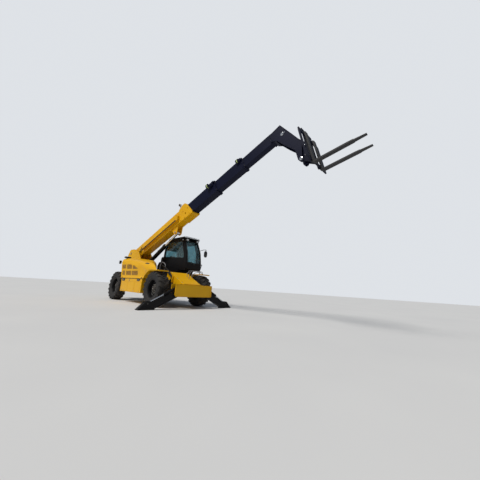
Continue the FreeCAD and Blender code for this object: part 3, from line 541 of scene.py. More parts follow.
def from_mesh(name, me, mat, body, sharp=35.0, bevel=0.0, seg=2, replaces=(), subsurf=0, matrix=None):
    me.polygons.foreach_set("use_smooth", [True] * len(me.polygons))
    me.set_sharp_from_angle(angle=math.radians(sharp))
    if not me.materials:
        for m_ in (mat if isinstance(mat, (list, tuple)) else [mat]):
            me.materials.append(m_)
    o = bpy.data.objects.new(name, me)
    bpy.context.scene.collection.objects.link(o)
    if matrix is not None:
        o.matrix_world = matrix
    if bevel:
        b = o.modifiers.new("bevel", "BEVEL")
        b.width, b.segments, b.limit_method, b.angle_limit = bevel, seg, "ANGLE", math.radians(40)
        b.use_clamp_overlap = True
    if subsurf:
        s = o.modifiers.new("subsurf", "SUBSURF")
        s.levels = s.render_levels = subsurf
    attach(o, body)
    if replaces:
        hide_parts(*replaces)
    PIECES[name] = o
    return o


def hose(name, pts, r, body, mat=None, ends=True):
    """A hose fixed at both ends, on one smooth line, with its crimped fittings."""
    cu = bpy.data.curves.new(name, "CURVE")
    cu.dimensions = "3D"
    sp = cu.splines.new("NURBS")
    sp.points.add(len(pts) - 1)
    for p, q in zip(sp.points, pts):
        p.co = (q[0], q[1], q[2], 1)
    sp.use_endpoint_u = True
    sp.order_u = 4 if len(pts) > 3 else 3
    sp.resolution_u = 12
    cu.bevel_depth, cu.bevel_resolution, cu.use_fill_caps = r, 3, True
    cu.materials.append(mat or HOSE)
    o = bpy.data.objects.new(name, cu)
    bpy.context.scene.collection.objects.link(o)
    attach(o, body)
    if ends:
        bm = bmesh.new()
        for a, b in ((pts[0], pts[1]), (pts[-1], pts[-2])):
            a, b = Vector(a), Vector(b)
            d = (b - a).normalized()
            add_lathe(bm, [(0, 0), (0, r * 1.5), (r * 1.2, r * 1.5), (r * 1.2, r * 1.15), (r * 1.6, r * 1.15), (r * 1.7, r * 1.35),
                           (r * 4.2, r * 1.35), (r * 4.4, r * 1.1), (r * 4.4, 0)], a, d, 14)
        piece(name + "_ends", bm, ZINC, body)
    return o


# ------------------------------------------------------------------ tyres and rims
def tyre_mesh():
    """One tyre about the Y axis, its outer side towards +Y, centred on the origin."""
    bm = bmesh.new()
    # carcass: (y, radius) from the inner bead over the tread to the outer bead
    side = [(0.150, 0.3185), (0.158, 0.335), (0.163, 0.348), (0.172, 0.352), (0.176, 0.366), (0.172, 0.375), (0.177, 0.395),
            (0.184, 0.425), (0.1885, 0.452), (0.1915, 0.455), (0.1915, 0.463), (0.1885, 0.466), (0.187, 0.495), (0.1915, 0.500),
            (0.1915, 0.506), (0.184, 0.512), (0.172, 0.545), (0.150, 0.562), (0.110, 0.569), (0.055, 0.572)]
    prof = [(-y, r) for y, r in side] + [(0.0, 0.573)] + side[::-1]
    inner = [(0.140, 0.3185), (0.130, 0.36), (0.150, 0.42), (0.155, 0.48), (0.12, 0.53), (0.0, 0.545)]
    prof = prof + inner[:-1] + [inner[-1]] + [(-y, r) for y, r in inner[:-1][::-1]]
    add_lathe(bm, prof, (0, 0, 0), YY, 96, closed=True)
    # lugs: each from past the middle, sweeping back to the shoulder and down the sidewall
    count = 19
    pitch = 2 * math.pi / count
    # station: y, outer radius, base radius, half-width at the top (arc metres), angle lag
    st = [(-0.022, 0.5985, 0.566, 0.022, 0.00), (0.020, 0.600, 0.566, 0.027, 0.010), (0.060, 0.6000, 0.565, 0.028, 0.058), (0.105, 0.5985, 0.562, 0.031, 0.100),
          (0.150, 0.5945, 0.555, 0.036, 0.128), (0.182, 0.586, 0.535, 0.040, 0.140), (0.1945, 0.566, 0.520, 0.041, 0.145), (0.1948, 0.535, 0.512, 0.037, 0.146), (0.190, 0.508, 0.500, 0.030, 0.146)]
    for sgn, shift in ((1, 0.0), (-1, 0.5)):
        for i in range(count):
            base = (i + shift) * pitch
            rings = []
            for y, ro, rb, hw, lag in st:
                ring = []
                inner_y = y - 0.030 if y > 0.18 else y
                for frac, rad, yy in ((-1.32, rb, inner_y), (-1.0, ro, y), (1.0, ro, y), (1.32, rb, inner_y)):
                    t = base + lag * 1.45 + frac * hw / ro
                    ring.append(Vector((math.sin(t) * rad, sgn * yy, math.cos(t) * rad)))
                rings.append(ring)
            add_loft(bm, rings)
    bmesh.ops.recalc_face_normals(bm, faces=bm.faces[:])
    me = bpy.data.meshes.new("tyre")
    bm.to_mesh(me)
    bm.free()
    return me


def rim_mesh():
    """One rim about the Y axis, its outer side towards +Y."""
    bm = bmesh.new()
    prof = [(-0.150, 0.317), (-0.146, 0.3255), (-0.138, 0.3265), (-0.134, 0.318), (-0.134, 0.300), (-0.120, 0.290), (-0.060, 0.286), (0.060, 0.286), (0.110, 0.290),
            (0.132, 0.300), (0.134, 0.318), (0.138, 0.3265), (0.146, 0.3255), (0.150, 0.317), (0.148, 0.296), (0.126, 0.283), (0.060, 0.274), (0.020, 0.268),
            (0.004, 0.255), (-0.008, 0.215), (0.000, 0.190), (0.020, 0.176), (0.030, 0.165), (0.030, 0.060), (0.030, 0.0)]
    back = [(-0.022, 0.0), (-0.022, 0.150), (-0.050, 0.190), (-0.050, 0.262), (-0.120, 0.280), (-0.148, 0.296)]
    k = len(prof)
    add_lathe(bm, prof + back, (0, 0, 0), YY, 72, closed=True)
    me = bpy.data.meshes.new("rim")
    bmesh.ops.recalc_face_normals(bm, faces=bm.faces[:])
    bm.to_mesh(me)
    bm.free()
    return me


def hub_mesh():
    bm = bmesh.new()
    add_lathe(bm, [(0.0302, 0.0), (0.0302, 0.108), (0.040, 0.112), (0.052, 0.112), (0.056, 0.106), (0.078, 0.098), (0.086, 0.088), (0.088, 0.050), (0.094, 0.046),
                   (0.100, 0.030), (0.100, 0.0)], (0, 0, 0), YY, 48)
    for i in range(8):
        t = 2 * math.pi * (i + 0.5) / 8
        add_bolt(bm, (math.cos(t) * 0.073, 0.0855, math.sin(t) * 0.073), YY, 0.016, 0.008, washer=False)
    me = bpy.data.meshes.new("hub")
    bmesh.ops.recalc_face_normals(bm, faces=bm.faces[:])
    bm.to_mesh(me)
    bm.free()
    return me


def nuts_mesh():
    bm = bmesh.new()
    for i in range(10):
        t = 2 * math.pi * i / 10
        add_bolt(bm, (math.cos(t) * 0.1375, 0.030, math.sin(t) * 0.1375), YY, 0.032, 0.020, stud=0.014)
    # bright clips on the rim's edge: painted highlights standing in for glints on the rim
    for t in (0.75, 3.75, 2.3):
        p = Vector((math.cos(t) * 0.3115, 0.146, math.sin(t) * 0.3115))
        q = Vector((math.cos(t + 0.05) * 0.3115, 0.146, math.sin(t + 0.05) * 0.3115))
        add_tube(bm, [p, (p + q) / 2 * 1.0005, q], 0.0075, 8)
    # valve stem in the rim's well
    a = Vector((math.cos(2.2) * 0.262, 0.045, math.sin(2.2) * 0.262))
    add_cyl(bm, a, a + Vector((-math.cos(2.2) * 0.012, 0.055, -math.sin(2.2) * 0.012)), 0.006, 12, lip=0.001)
    add_bolt(bm, (0, 0.100, 0), YY, 0.020, 0.009, washer=True)
    me = bpy.data.meshes.new("nuts")
    bmesh.ops.recalc_face_normals(bm, faces=bm.faces[:])
    bm.to_mesh(me)
    bm.free()
    return me


WHEELS = [("front_left", 1, WB), ("front_right", -1, WB), ("rear_left", 1, 0.0), ("rear_right", -1, 0.0)]
WHEEL_MESHES = (tyre_mesh(), rim_mesh(), hub_mesh(), nuts_mesh())
for word, s, x in WHEELS:
    m = Matrix.Translation(at(x, s * WHEEL_Y, TYRE_R))
    turn = Matrix.Rotation(0 if s > 0 else math.pi, 4, "Z") @ Matrix.Rotation(0.13 if x else 0.05, 4, "Y")
    TYRE, RIM, HUB, NUTS = (k.copy() for k in WHEEL_MESHES)
    for k in (TYRE, RIM, HUB, NUTS):
        k.transform(turn)
    body = "wheel_" + word
    from_mesh("tyre_lugged_" + word, TYRE, RUBBER, body, 40, bevel=0.004, seg=1, replaces=("tyre_" + word,), matrix=m)
    from_mesh("rim_dished_" + word, RIM, BLACK, body, 30, replaces=("rim_" + word,), matrix=m)
    from_mesh("hub_" + word, HUB, GREY, body, 30, matrix=m)
    from_mesh("wheel_nuts_" + word, NUTS, ZINC, body, 30, matrix=m)


# ------------------------------------------------------------------ engine hood
def lerp(a, b, t):
    return a + (b - a) * t


def step(t):
    t = max(0.0, min(1.0, t))
    return t * t * (3 - 2 * t)


def along(path, x):
    """Height of a broken line at x."""
    for (x0, z0), (x1, z1) in zip(path, path[1:]):
        if x <= x1:
            return lerp(z0, z1, max(0.0, (x - x0) / (x1 - x0)))
    return path[-1][1]


HOOD_TOP = [(0.37, 1.74), (0.40, 1.785), (0.45, 1.815), (0.52, 1.830), (0.62, 1.835), (0.76, 1.833), (2.33, 1.660), (3.44, 1.532), (3.52, 1.512), (3.56, 1.490), (3.60, 1.440), (3.66, 1.330), (3.76, 1.252)]
SWOOSH = [(0.0, 1.60), (0.43, 1.615), (0.89, 1.640), (1.33, 1.635), (1.65, 1.608), (1.90, 1.567), (2.12, 1.522), (2.33, 1.462), (2.50, 1.395), (2.66, 1.315), (2.78, 1.235), (2.87, 1.150), (2.95, 1.040), (3.0, 0.90)]
GRILLES = [
    [(0.500, 1.490, 0.02), (0.850, 1.485, 0.02), (0.925, 1.320, 0.02), (0.575, 1.320, 0.02)],
    [(0.990, 1.480, 0.02), (1.460, 1.470, 0.02), (1.540, 1.300, 0.02), (1.070, 1.300, 0.02)],
    [(1.580, 1.440, 0.02), (1.700, 1.430, 0.04), (2.120, 1.290, 0.015), (1.655, 1.290, 0.02)],
    [(0.620, 1.220, 0.02), (0.870, 1.220, 0.02), (0.950, 1.050, 0.02), (0.695, 1.050, 0.02)],
    [(1.020, 1.215, 0.02), (1.490, 1.215, 0.02), (1.570, 1.050, 0.02), (1.100, 1.050, 0.02)],
    [(1.580, 1.210, 0.02), (2.110, 1.210, 0.02), (2.185, 1.050, 0.02), (1.660, 1.050, 0.02)],
]


def hood_point(x, zb, v, deep):
    """A point of the hood's skin: v from its lower edge (0) over the shoulder to the inner edge (1)."""
    out, r = -1.1695, 0.26
    zc, zi = 1.830 - 0.108 * x, 1.925 - 0.108 * x
    tilt = math.atan2(0.095, 0.825)
    t_len = r * math.tan((math.pi / 2 - tilt) / 2)
    if v < 0.55:
        y, z = out, lerp(zb, zc - t_len, v / 0.55)
        ny, nz = -1.0, 0.0
    elif v < 0.82:
        a = (v - 0.55) / 0.27 * (math.pi / 2 - tilt)
        cy, cz = out + r, zc - t_len
        ny, nz = -math.cos(a), math.sin(a)
        y, z = cy + ny * r, cz + nz * r
    else:
        a = math.pi / 2 - tilt
        y0, z0 = out + r - math.cos(a) * r, zc - t_len + math.sin(a) * r
        k = (v - 0.82) / 0.18
        y, z = lerp(y0, -0.346, k), lerp(z0, zi, k)
        ny, nz = -math.sin(tilt), math.cos(tilt)
    top = along(HOOD_TOP, x)
    # rounded over towards the slanted front end
    far = max(0.0, -((x - 3.640) * 0.4606 + (y + 1.170) * 0.8877))
    if far < 0.24:
        top = min(top, zi - 0.095 * (-0.345 - y) / 0.825 - 0.24 + math.sqrt(0.24 ** 2 - (0.24 - far) ** 2))
    z = max(min(z, top), zb)
    # pressed panel below the swoosh, with a rim left along the rear and lower edges
    rear = 0.65 - (min(z, 1.74) - 0.925) / 0.815 * 0.28
    inside = step((along(SWOOSH, x) - z) / 0.045) * step((x - rear - 0.035) / 0.03) * step((z - 0.965) / 0.03)
    d = deep * inside
    return Vector((x, y - ny * d, z - nz * d))


def hood_mesh():
    bm = bmesh.new()
    cols = []
    for i in range(44):
        k = i / 43
        cols.append((lerp(0.65, 2.73, k), 0.9255, lerp(0.37, 2.58, k)))
    for k in (0.33, 0.66, 0.9):
        cols.append((lerp(2.73, 2.80, k), lerp(0.9255, 1.075, k), lerp(2.58, 2.66, k)))
    corner = rounded([(2.73, 0.9255), (2.80, 1.075, 0.06), (3.06, 1.2525, 0.06), (3.76, 1.2525)], 5)
    arch = [p for p in corner if p[0] > 2.79][:-1]
    for j, p in enumerate(arch):
        cols.append((p[0], p[1], lerp(2.68, 2.95, (j + 1) / len(arch))))
    for k in [(j + 1) / 14 for j in range(14)]:
        cols.append((lerp(3.10, 3.76, k), 1.2525, lerp(3.00, 3.66, k)))
    vs = [0.55 * j / 26 for j in range(26)] + [0.55 + 0.27 * j / 12 for j in range(12)] + [0.82 + 0.18 * j / 9 for j in range(10)]
    rows = []
    for n, (xb, zb, xt) in enumerate(cols):
        col = []
        for v in vs:
            x = xb
            for _ in range(5):
                p = hood_point(x, zb, v, 0.019)
                k = max(0.0, (p.z - zb) / (1.74 - zb))
                if n == 0:
                    x = xb + (xt - xb) * min(k, 1.0) + max(0.0, k - 1) * 0.6
                else:
                    x = xb + (xt - xb) * min(k, 1.0)
            col.append(bm.verts.new(hood_point(x, zb, v, 0.019)))
        rows.append(col)
    for a, b in zip(rows, rows[1:]):
        for j in range(len(vs) - 1):
            add_face(bm, (a[j], b[j], b[j + 1], a[j + 1]))
    # rear wall
    rear = [v.co.copy() for v in rows[0]]
    inner = Vector((0.65, rear[-1].y, 0.957))
    low = Vector((0.65, rear[-1].y - 0.0, 0.957))
    ring = [bm.verts.new(p) for p in rear] + [bm.verts.new(p) for p in ([low] if (inner - low).length < 1e-6 else [inner, low])]
    add_face(bm, ring)
    # slanted front cut
    geom = bm.verts[:] + bm.edges[:] + bm.faces[:]
    nrm = Vector((0.4606, 0.8877, 0)).normalized()
    cut = bmesh.ops.bisect_plane(bm, geom=geom, dist=1e-5, plane_co=Vector((3.640, -1.170, 0)), plane_no=nrm, clear_outer=True)
    edge = sorted({v for e in cut["geom_cut"] if isinstance(e, bmesh.types.BMVert) for v in [e]}, key=lambda v: v.co.x)
    pts = [v.co.copy() for v in edge]
    low = [Vector((x, -1.170 + (3.640 - x) / 1.590 * 0.825, z)) for x, z in ((3.632, 1.2525), (2.705, 1.2525), (2.705, 0.9865), (2.052, 0.9865))]
    wall = [bm.verts.new(p) for p in pts] + [bm.verts.new(p) for p in low]
    add_face(bm, wall)
    bmesh.ops.remove_doubles(bm, verts=bm.verts[:], dist=2e-4)
    bmesh.ops.recalc_face_normals(bm, faces=bm.faces[:])
    me = bpy.data.meshes.new("hood")
    for v in bm.verts:
        v.co.x -= SX
    bm.to_mesh(me)
    bm.free()
    return me


def applied(o):
    """The mesh of an object with its modifiers worked in."""
    bpy.context.view_layer.update()
    me = bpy.data.meshes.new_from_object(o.evaluated_get(bpy.context.evaluated_depsgraph_get()))
    return me


def scratch_object(name, me):
    o = bpy.data.objects.new(name, me)
    bpy.context.scene.collection.objects.link(o)
    return o


def drop(o):
    me = o.data
    bpy.data.objects.remove(o)
    bpy.data.meshes.remove(me)


def carve(me, cutters, thick=0.0):
    """A skin made thick, then cut by prisms."""
    o = scratch_object("carve_base", me)
    if thick:
        s = o.modifiers.new("thick", "SOLIDIFY")
        s.thickness, s.offset, s.use_even_offset = thick, -1, True
        m2 = applied(o)
        drop(o)
        o = scratch_object("carve_base", m2)
    bm = bmesh.new()
    for c in cutters:
        add_prism(bm, *c)
    bmesh.ops.recalc_face_normals(bm, faces=bm.faces[:])
    cm = bpy.data.meshes.new("cutters")
    bm.to_mesh(cm)
    bm.free()
    co = scratch_object("cutters", cm)
    b = o.modifiers.new("cut", "BOOLEAN")
    b.operation, b.object, b.solver = "DIFFERENCE", co, "EXACT"
    out = applied(o)
    drop(o)
    drop(co)
    return out


holes = [(rounded(g, 5), at(0, -1.17, 0), XX, ZZ, YY, 0.12) for g in GRILLES]
SLOT = [(2.56, 1.515, 0.02), (2.83, 1.487, 0.02), (2.83, 1.530, 0.02), (2.56, 1.560, 0.02)]
hood_skin = carve(hood_mesh(), holes, 0.007)
from_mesh("hood_panel", hood_skin, YELLOW, "engine_hood", 32, bevel=0.0025, seg=2, replaces=("engine_hood",))


def inside_poly(p, poly):
    hit = False
    for (x0, y0), (x1, y1) in zip(poly, poly[1:] + poly[:1]):
        if (y0 > p[1]) != (y1 > p[1]) and p[0] < (x1 - x0) * (p[1] - y0) / (y1 - y0) + x0:
            hit = not hit
    return hit


def grown(poly, d):
    cx, cy = sum(p[0] for p in poly) / len(poly), sum(p[1] for p in poly) / len(poly)
    out = []
    for x, y in poly:
        v = Vector((x - cx, y - cy))
        v = v * (1 + d / max(v.length, 1e-6))
        out.append((cx + v.x, cy + v.y))
    return out


def add_punched(bm, poly, y, thick, pitch=0.021, r=0.0066):
    """Punched sheet in the XZ plane: cells with an eight-sided hole, in offset rows."""
    xs, zs = [p[0] for p in poly], [p[1] for p in poly]
    big = grown(poly, 0.016)
    nz = int((max(zs) - min(zs) + 0.05) / (pitch * 0.9))
    nx = int((max(xs) - min(xs) + 0.06) / pitch)
    h, w = pitch * 0.45, pitch * 0.5
    for j in range(nz):
        z = min(zs) - 0.02 + (j + 0.5) * pitch * 0.9
        for i in range(nx):
            x = min(xs) - 0.03 + (i + 0.5 + 0.5 * (j % 2)) * pitch
            if not inside_poly((x, z), big):
                continue
            outer = [(w, 0), (w, h), (0, h), (-w, h), (-w, 0), (-w, -h), (0, -h), (w, -h)]
            inner = [(r * math.cos(math.pi / 4 * k), r * math.sin(math.pi / 4 * k)) for k in range(8)]
            v0 = [bm.verts.new(at(x + a, y, z + b_)) for a, b_ in outer]
            v1 = [bm.verts.new(at(x + a, y, z + b_)) for a, b_ in inner]
            v2 = [bm.verts.new(at(x + a, y + thick, z + b_)) for a, b_ in inner]
            for k in range(8):
                k2 = (k + 1) % 8
                add_face(bm, (v0[k], v0[k2], v1[k2], v1[k]))
                add_face(bm, (v1[k], v1[k2], v2[k2], v2[k]))


bm = bmesh.new()
for g in GRILLES:
    add_punched(bm, [(p[0], p[1]) for p in g], -1.1515, 0.0015)
piece("hood_mesh_sheets", bm, OCHRE, "engine_hood", 30, replaces=("hood_grilles",))

bm = bmesh.new()
# black panel behind the sheets, keeping the light out
for g in GRILLES:
    add_prism(bm, grown([(p[0], p[1]) for p in g], 0.02), at(0, -1.134, 0), XX, ZZ, YY, 0.002)
# slot in the shoulder: a flat dark sheet lying in the skin, painted shade for the inlet's inside
sl = [Vector((x, y, z)) for x, y, z in ((2.555, -1.045, 1.527), (2.83, -1.045, 1.497), (2.83, -0.985, 1.527), (2.555, -0.985, 1.557))]
piece("hood_dark_backing", bm, TRIM, "engine_hood")


def shoulder(x, v, lift=0.0):
    """A point on the hood's shoulder, lifted off the skin, in the row frame."""
    p = hood_point(x, 1.2525, v, 0.0)
    q = hood_point(x, 1.2525, v + 0.004, 0.0)
    t = (q - p).normalized()
    n = Vector((0, -t.z, t.y))
    return at(*(p + n * lift))


bm = bmesh.new()
ring = []
for lift, grow in ((-0.006, 0.0), (0.003, 0.0), (0.003, 0.010), (-0.006, 0.010)):
    loop = []
    for k in range(28):
        a = 2 * math.pi * k / 28
        ca_, sa = math.cos(a), math.sin(a)
        ex = 0.135 + grow
        ev = 0.020 + grow * 0.35
        loop.append(shoulder(2.695 + ex * math.copysign(abs(ca_) ** 0.5, ca_), 0.705 + ev * math.copysign(abs(sa) ** 0.5, sa), lift))
    ring.append(loop)
add_loft(bm, ring, close_path=True, cap=False)
piece("hood_slot_rim", bm, SEAL, "engine_hood", 30)
# flat black sheet in the slot: painted shade of the slot's inside
bm = bmesh.new()
rows = []
for j in range(3):
    rows.append([bm.verts.new(shoulder(2.695 + 0.13 * (k / 8 - 0.5) * 2, 0.705 + 0.018 * (j - 1), 0.0008)) for k in range(9)])
for a, b_ in zip(rows, rows[1:]):
    for k in range(8):
        add_face(bm, (a[k], a[k + 1], b_[k + 1], b_[k]))
piece("hood_slot_painted_shade", bm, TRIM, "engine_hood", 30)

# latches of the hood
bm = bmesh.new()
for x, z in ((0.78, 0.952), (2.60, 0.952)):
    add_box(bm, (x - 0.045, -0.004, z - 0.018), (x + 0.045, 0.001, z + 0.018), (XX, YY, ZZ), at(0, -1.1695, 0) + XX * 0)
    add_cyl(bm, at(x, -1.1735, z), at(x, -1.165, z), 0.013, 18, lip=0.002)
piece("hood_latches", bm, TRIM, "engine_hood", 30, bevel=0.0015)


def add_cap(bm, centre, axis, r, high=0.012, nipple=True):
    """A pin's end: a chamfered disc with a keeper groove and a grease nipple."""
    a, u, v = frame_of(axis)
    c = Vector(centre)
    add_lathe(bm, [(0, 0), (0, r), (high * 0.7, r), (high, r - high * 0.3), (high, r * 0.62), (high * 0.75, r * 0.56), (high * 0.75, r * 0.2), (high * 0.75, 0)], c, a, 28)
    if nipple:
        add_lathe(bm, [(0, 0.006), (0.006, 0.006), (0.008, 0.0035), (0.014, 0.0035), (0.016, 0.005), (0.020, 0.003), (0.020, 0)], c + a * high * 0.75, a, 10)


def add_keeper(bm, centre, axis, along_, r):
    """The flat plate that keeps a pin from turning, with one bolt."""
    a, _, _ = frame_of(axis)
    d = Vector(along_).normalized()
    e = a.cross(d)
    o = Vector(centre) + d * (r + 0.030)
    add_box(bm, (-0.045, -0.020, 0.0), (0.028, 0.020, 0.010), (d, e, a), o)
    for k in (-0.002, ):
        add_bolt(bm, o + d * k + e * 0 + a * 0.010, a, 0.020, 0.010)


def add_bead(bm, pts, r=0.005, close=False):
    """A weld bead: a low round line with an uneven run."""
    pts = [Vector(p) for p in pts]
    fine = []
    span = len(pts) if close else len(pts) - 1
    for i in range(span):
        a, b_ = pts[i], pts[(i + 1) % len(pts)]
        n = max(2, int((b_ - a).length / 0.02))
        for j in range(n):
            fine.append(a.lerp(b_, j / n))
    if not close:
        fine.append(pts[-1])
    add_tube(bm, fine, [r * (0.85 + 0.3 * ((i * 7919) % 13) / 13) for i in range(len(fine))], 6)


def add_ring_tube(bm, outline, origin, ua, ub, un, w, h):
    """A rubber section of width w and height h following a closed outline."""
    o = Vector(origin)
    pts = [Vector(p) for p in outline]
    keep = [p for i, p in enumerate(pts) if (p - pts[i - 1]).length > 1e-5]
    k = len(keep)
    rings = []
    for i, p in enumerate(keep):
        t = ((keep[(i + 1) % k] - p).normalized() + (p - keep[i - 1]).normalized())
        t = t.normalized() if t.length > 1e-6 else (keep[(i + 1) % k] - p).normalized()
        nrm = Vector((-t.y, t.x))
        a, b_ = p - nrm * w / 2, p + nrm * w / 2
        rings.append([o + ua * a.x + ub * a.y - un * h / 2, o + ua * b_.x + ub * b_.y - un * h / 2,
                      o + ua * b_.x + ub * b_.y + un * h / 2, o + ua * a.x + ub * a.y + un * h / 2])
    add_loft(bm, rings, close_path=True, cap=False)


# ------------------------------------------------------------------ outer boom
# black strip under the hose tray: painted shade of the groove along the tray's lower edge, with four straps across it
bm = bmesh.new()
add_box(bm, (0.905, -0.2835, -0.2665), (3.945, -0.264, -0.2080), (BOOM_U, YY, BOOM_V), at(*PIVOT))
for s in (1.3, 2.1, 2.9, 3.7):
    add_box(bm, (s, -0.2865, -0.2675), (s + 0.05, -0.262, -0.200), (BOOM_U, YY, BOOM_V), at(*PIVOT))
piece("boom_groove_painted_shade_strip", bm, SEAL, "boom", 30, bevel=0.002)

bm = bmesh.new()
for s in (1.10, 1.75, 2.45, 3.15, 3.85, 4.05):
    for n_ in (-0.052, -0.175):
        add_bolt(bm, bo(s, -0.280, n_), -YY, 0.022, 0.009)
for sgn in (-1, 1):
    for s in (4.22, 4.45, 4.80):
        add_bolt(bm, bo(s, sgn * 0.200, -0.36), YY * sgn, 0.030, 0.014)
    for s in (4.40, 4.72):
        add_bolt(bm, bo(s, sgn * 0.200, -0.03), YY * sgn, 0.030, 0.014)
for s in (4.30, 4.80):
    for y in (-0.12, 0.12):
        add_bolt(bm, bo(s, y, -0.4315), -BOOM_V, 0.030, 0.014)
piece("boom_bolts", bm, YELLOW, "boom", 30)

bm = bmesh.new()
# weld beads round the head collar, along the lift bracket and round the pivot boss
for sgn in (-1, 1):
    add_bead(bm, [bo(4.138, sgn * 0.182, -0.400), bo(4.138, sgn * 0.182, 0.170)])
    for y in (0.097, 0.127):
        add_bead(bm, [bo(3.40, sgn * y, -0.405), bo(3.88, sgn * y, -0.405)], 0.006)
add_bead(bm, [bo(1.04, -0.183, 0.011), bo(4.12, -0.183, 0.011)], 0.005)
add_bead(bm, [bo(1.04, -0.183, -0.269), bo(4.12, -0.183, -0.269)], 0.005)
for sgn in (-1, 1):
    ring = [bo(0.094 * math.cos(t * math.pi / 12), sgn * 0.183, 0.094 * math.sin(t * math.pi / 12)) for t in range(24)]
    add_bead(bm, ring, 0.005, close=True)
piece("boom_welds", bm, YELLOW, "boom", 60)

# wear pads and the dark mouth of the head
bm = bmesh.new()
for sgn in (-1, 1):
    for n_, s_ in ((-0.06, 4.770), (-0.31, 4.910)):
        add_box(bm, (s_, sgn * 0.157 - 0.014, n_ - 0.055), (s_ + 0.066, sgn * 0.157 + 0.014, n_ + 0.055), (BOOM_U, YY, BOOM_V), at(*PIVOT))
for y in (-0.09, 0.09):
    add_box(bm, (4.640, y - 0.05, 0.1410), (4.704, y + 0.05, 0.158), (BOOM_U, YY, BOOM_V), at(*PIVOT))
piece("boom_mouth_pads", bm, TRIM, "boom", 30, bevel=0.002)

# lamp on a stalk over the head, and a lamp bracket
bm = bmesh.new()
add_box(bm, (4.19, -0.188, 0.200), (4.285, -0.140, 0.250), (BOOM_U, YY, BOOM_V), at(*PIVOT))
add_tube(bm, bent([bo(4.24, -0.165, 0.215), bo(4.24, -0.165, 0.28), bo(4.24, -0.185, 0.36)], 0.03), 0.012, 12)
axes = (XX, YY, ZZ)
lamp_c = bo(4.250, -0.190, 0.405)
add_prism(bm, rounded([(-0.030, -0.045, 0.01), (0.035, -0.052, 0.012), (0.035, 0.052, 0.012), (-0.030, 0.045, 0.012)], 3), lamp_c, XX, ZZ, YY, 0.105)
for k in range(5):
    add_box(bm, (-0.040, -0.048, -0.038 + k * 0.018), (-0.028, 0.048, -0.032 + k * 0.018), axes, lamp_c)
piece("boom_lamp", bm, TRIM, "boom", 30, bevel=0.002)
bm = bmesh.new()
add_prism(bm, rounded([(-0.042, -0.040, 0.012), (0.042, -0.040, 0.012), (0.042, 0.040, 0.012), (-0.042, 0.040, 0.012)], 4), lamp_c + XX * 0.037, YY, ZZ, XX, 0.006)
piece("boom_lamp_lens", bm, LENS, "boom", 30)

# lift cylinder's upper pin in its bracket, pivot pin ends
bm = bmesh.new()
eye = bo(3.650, 0, -0.655)
add_cyl(bm, eye - YY * 0.158, eye + YY * 0.158, 0.0285, 28, lip=0.003)
for sgn in (-1, 1):
    add_cap(bm, eye + YY * sgn * 0.152, YY * sgn, 0.040, 0.014)
piece("lift_eye_pin", bm, ZINC, "boom", 30)
bm = bmesh.new()
for sgn in (-1, 1):
    p = at(PIVOT[0], sgn * 0.350, PIVOT[2])
    add_cap(bm, p, YY * sgn, 0.046, 0.014)
    add_keeper(bm, at(PIVOT[0], sgn * 0.336, PIVOT[2]), YY * sgn, (1, 0, 1), 0.05)
    q = at(-0.500, sgn * 0.160, 1.080)
    add_cap(bm, q, YY * sgn, 0.040, 0.010)
piece("tower_pin_caps", bm, ZINC, "chassis", 30)

# hoses from the boom's foot into the tray
for k in range(3):
    y = -0.205 - 0.026 * k
    hose("boom_foot_hose_%d" % k, [bo(0.36 + 0.03 * k, -0.188, -0.33), bo(0.42 + 0.03 * k, y - 0.01, -0.33), bo(0.62, y - 0.006, -0.30 + 0.015 * k), bo(0.85, y, -0.20 + 0.03 * k),
                                   bo(0.97, y, -0.13 + 0.035 * k), bo(1.042, y, -0.115 + 0.035 * k)], 0.011, "boom")
bm = bmesh.new()
add_box(bm, (0.30, -0.190, -0.375), (0.42, -0.1805, -0.285), (BOOM_U, YY, BOOM_V), at(*PIVOT))
add_box(bm, (0.76, -0.285, -0.255), (0.80, -0.1805, -0.235), (BOOM_U, YY, BOOM_V), at(*PIVOT))
piece("boom_foot_plates", bm, GREY, "boom", 30, bevel=0.002)

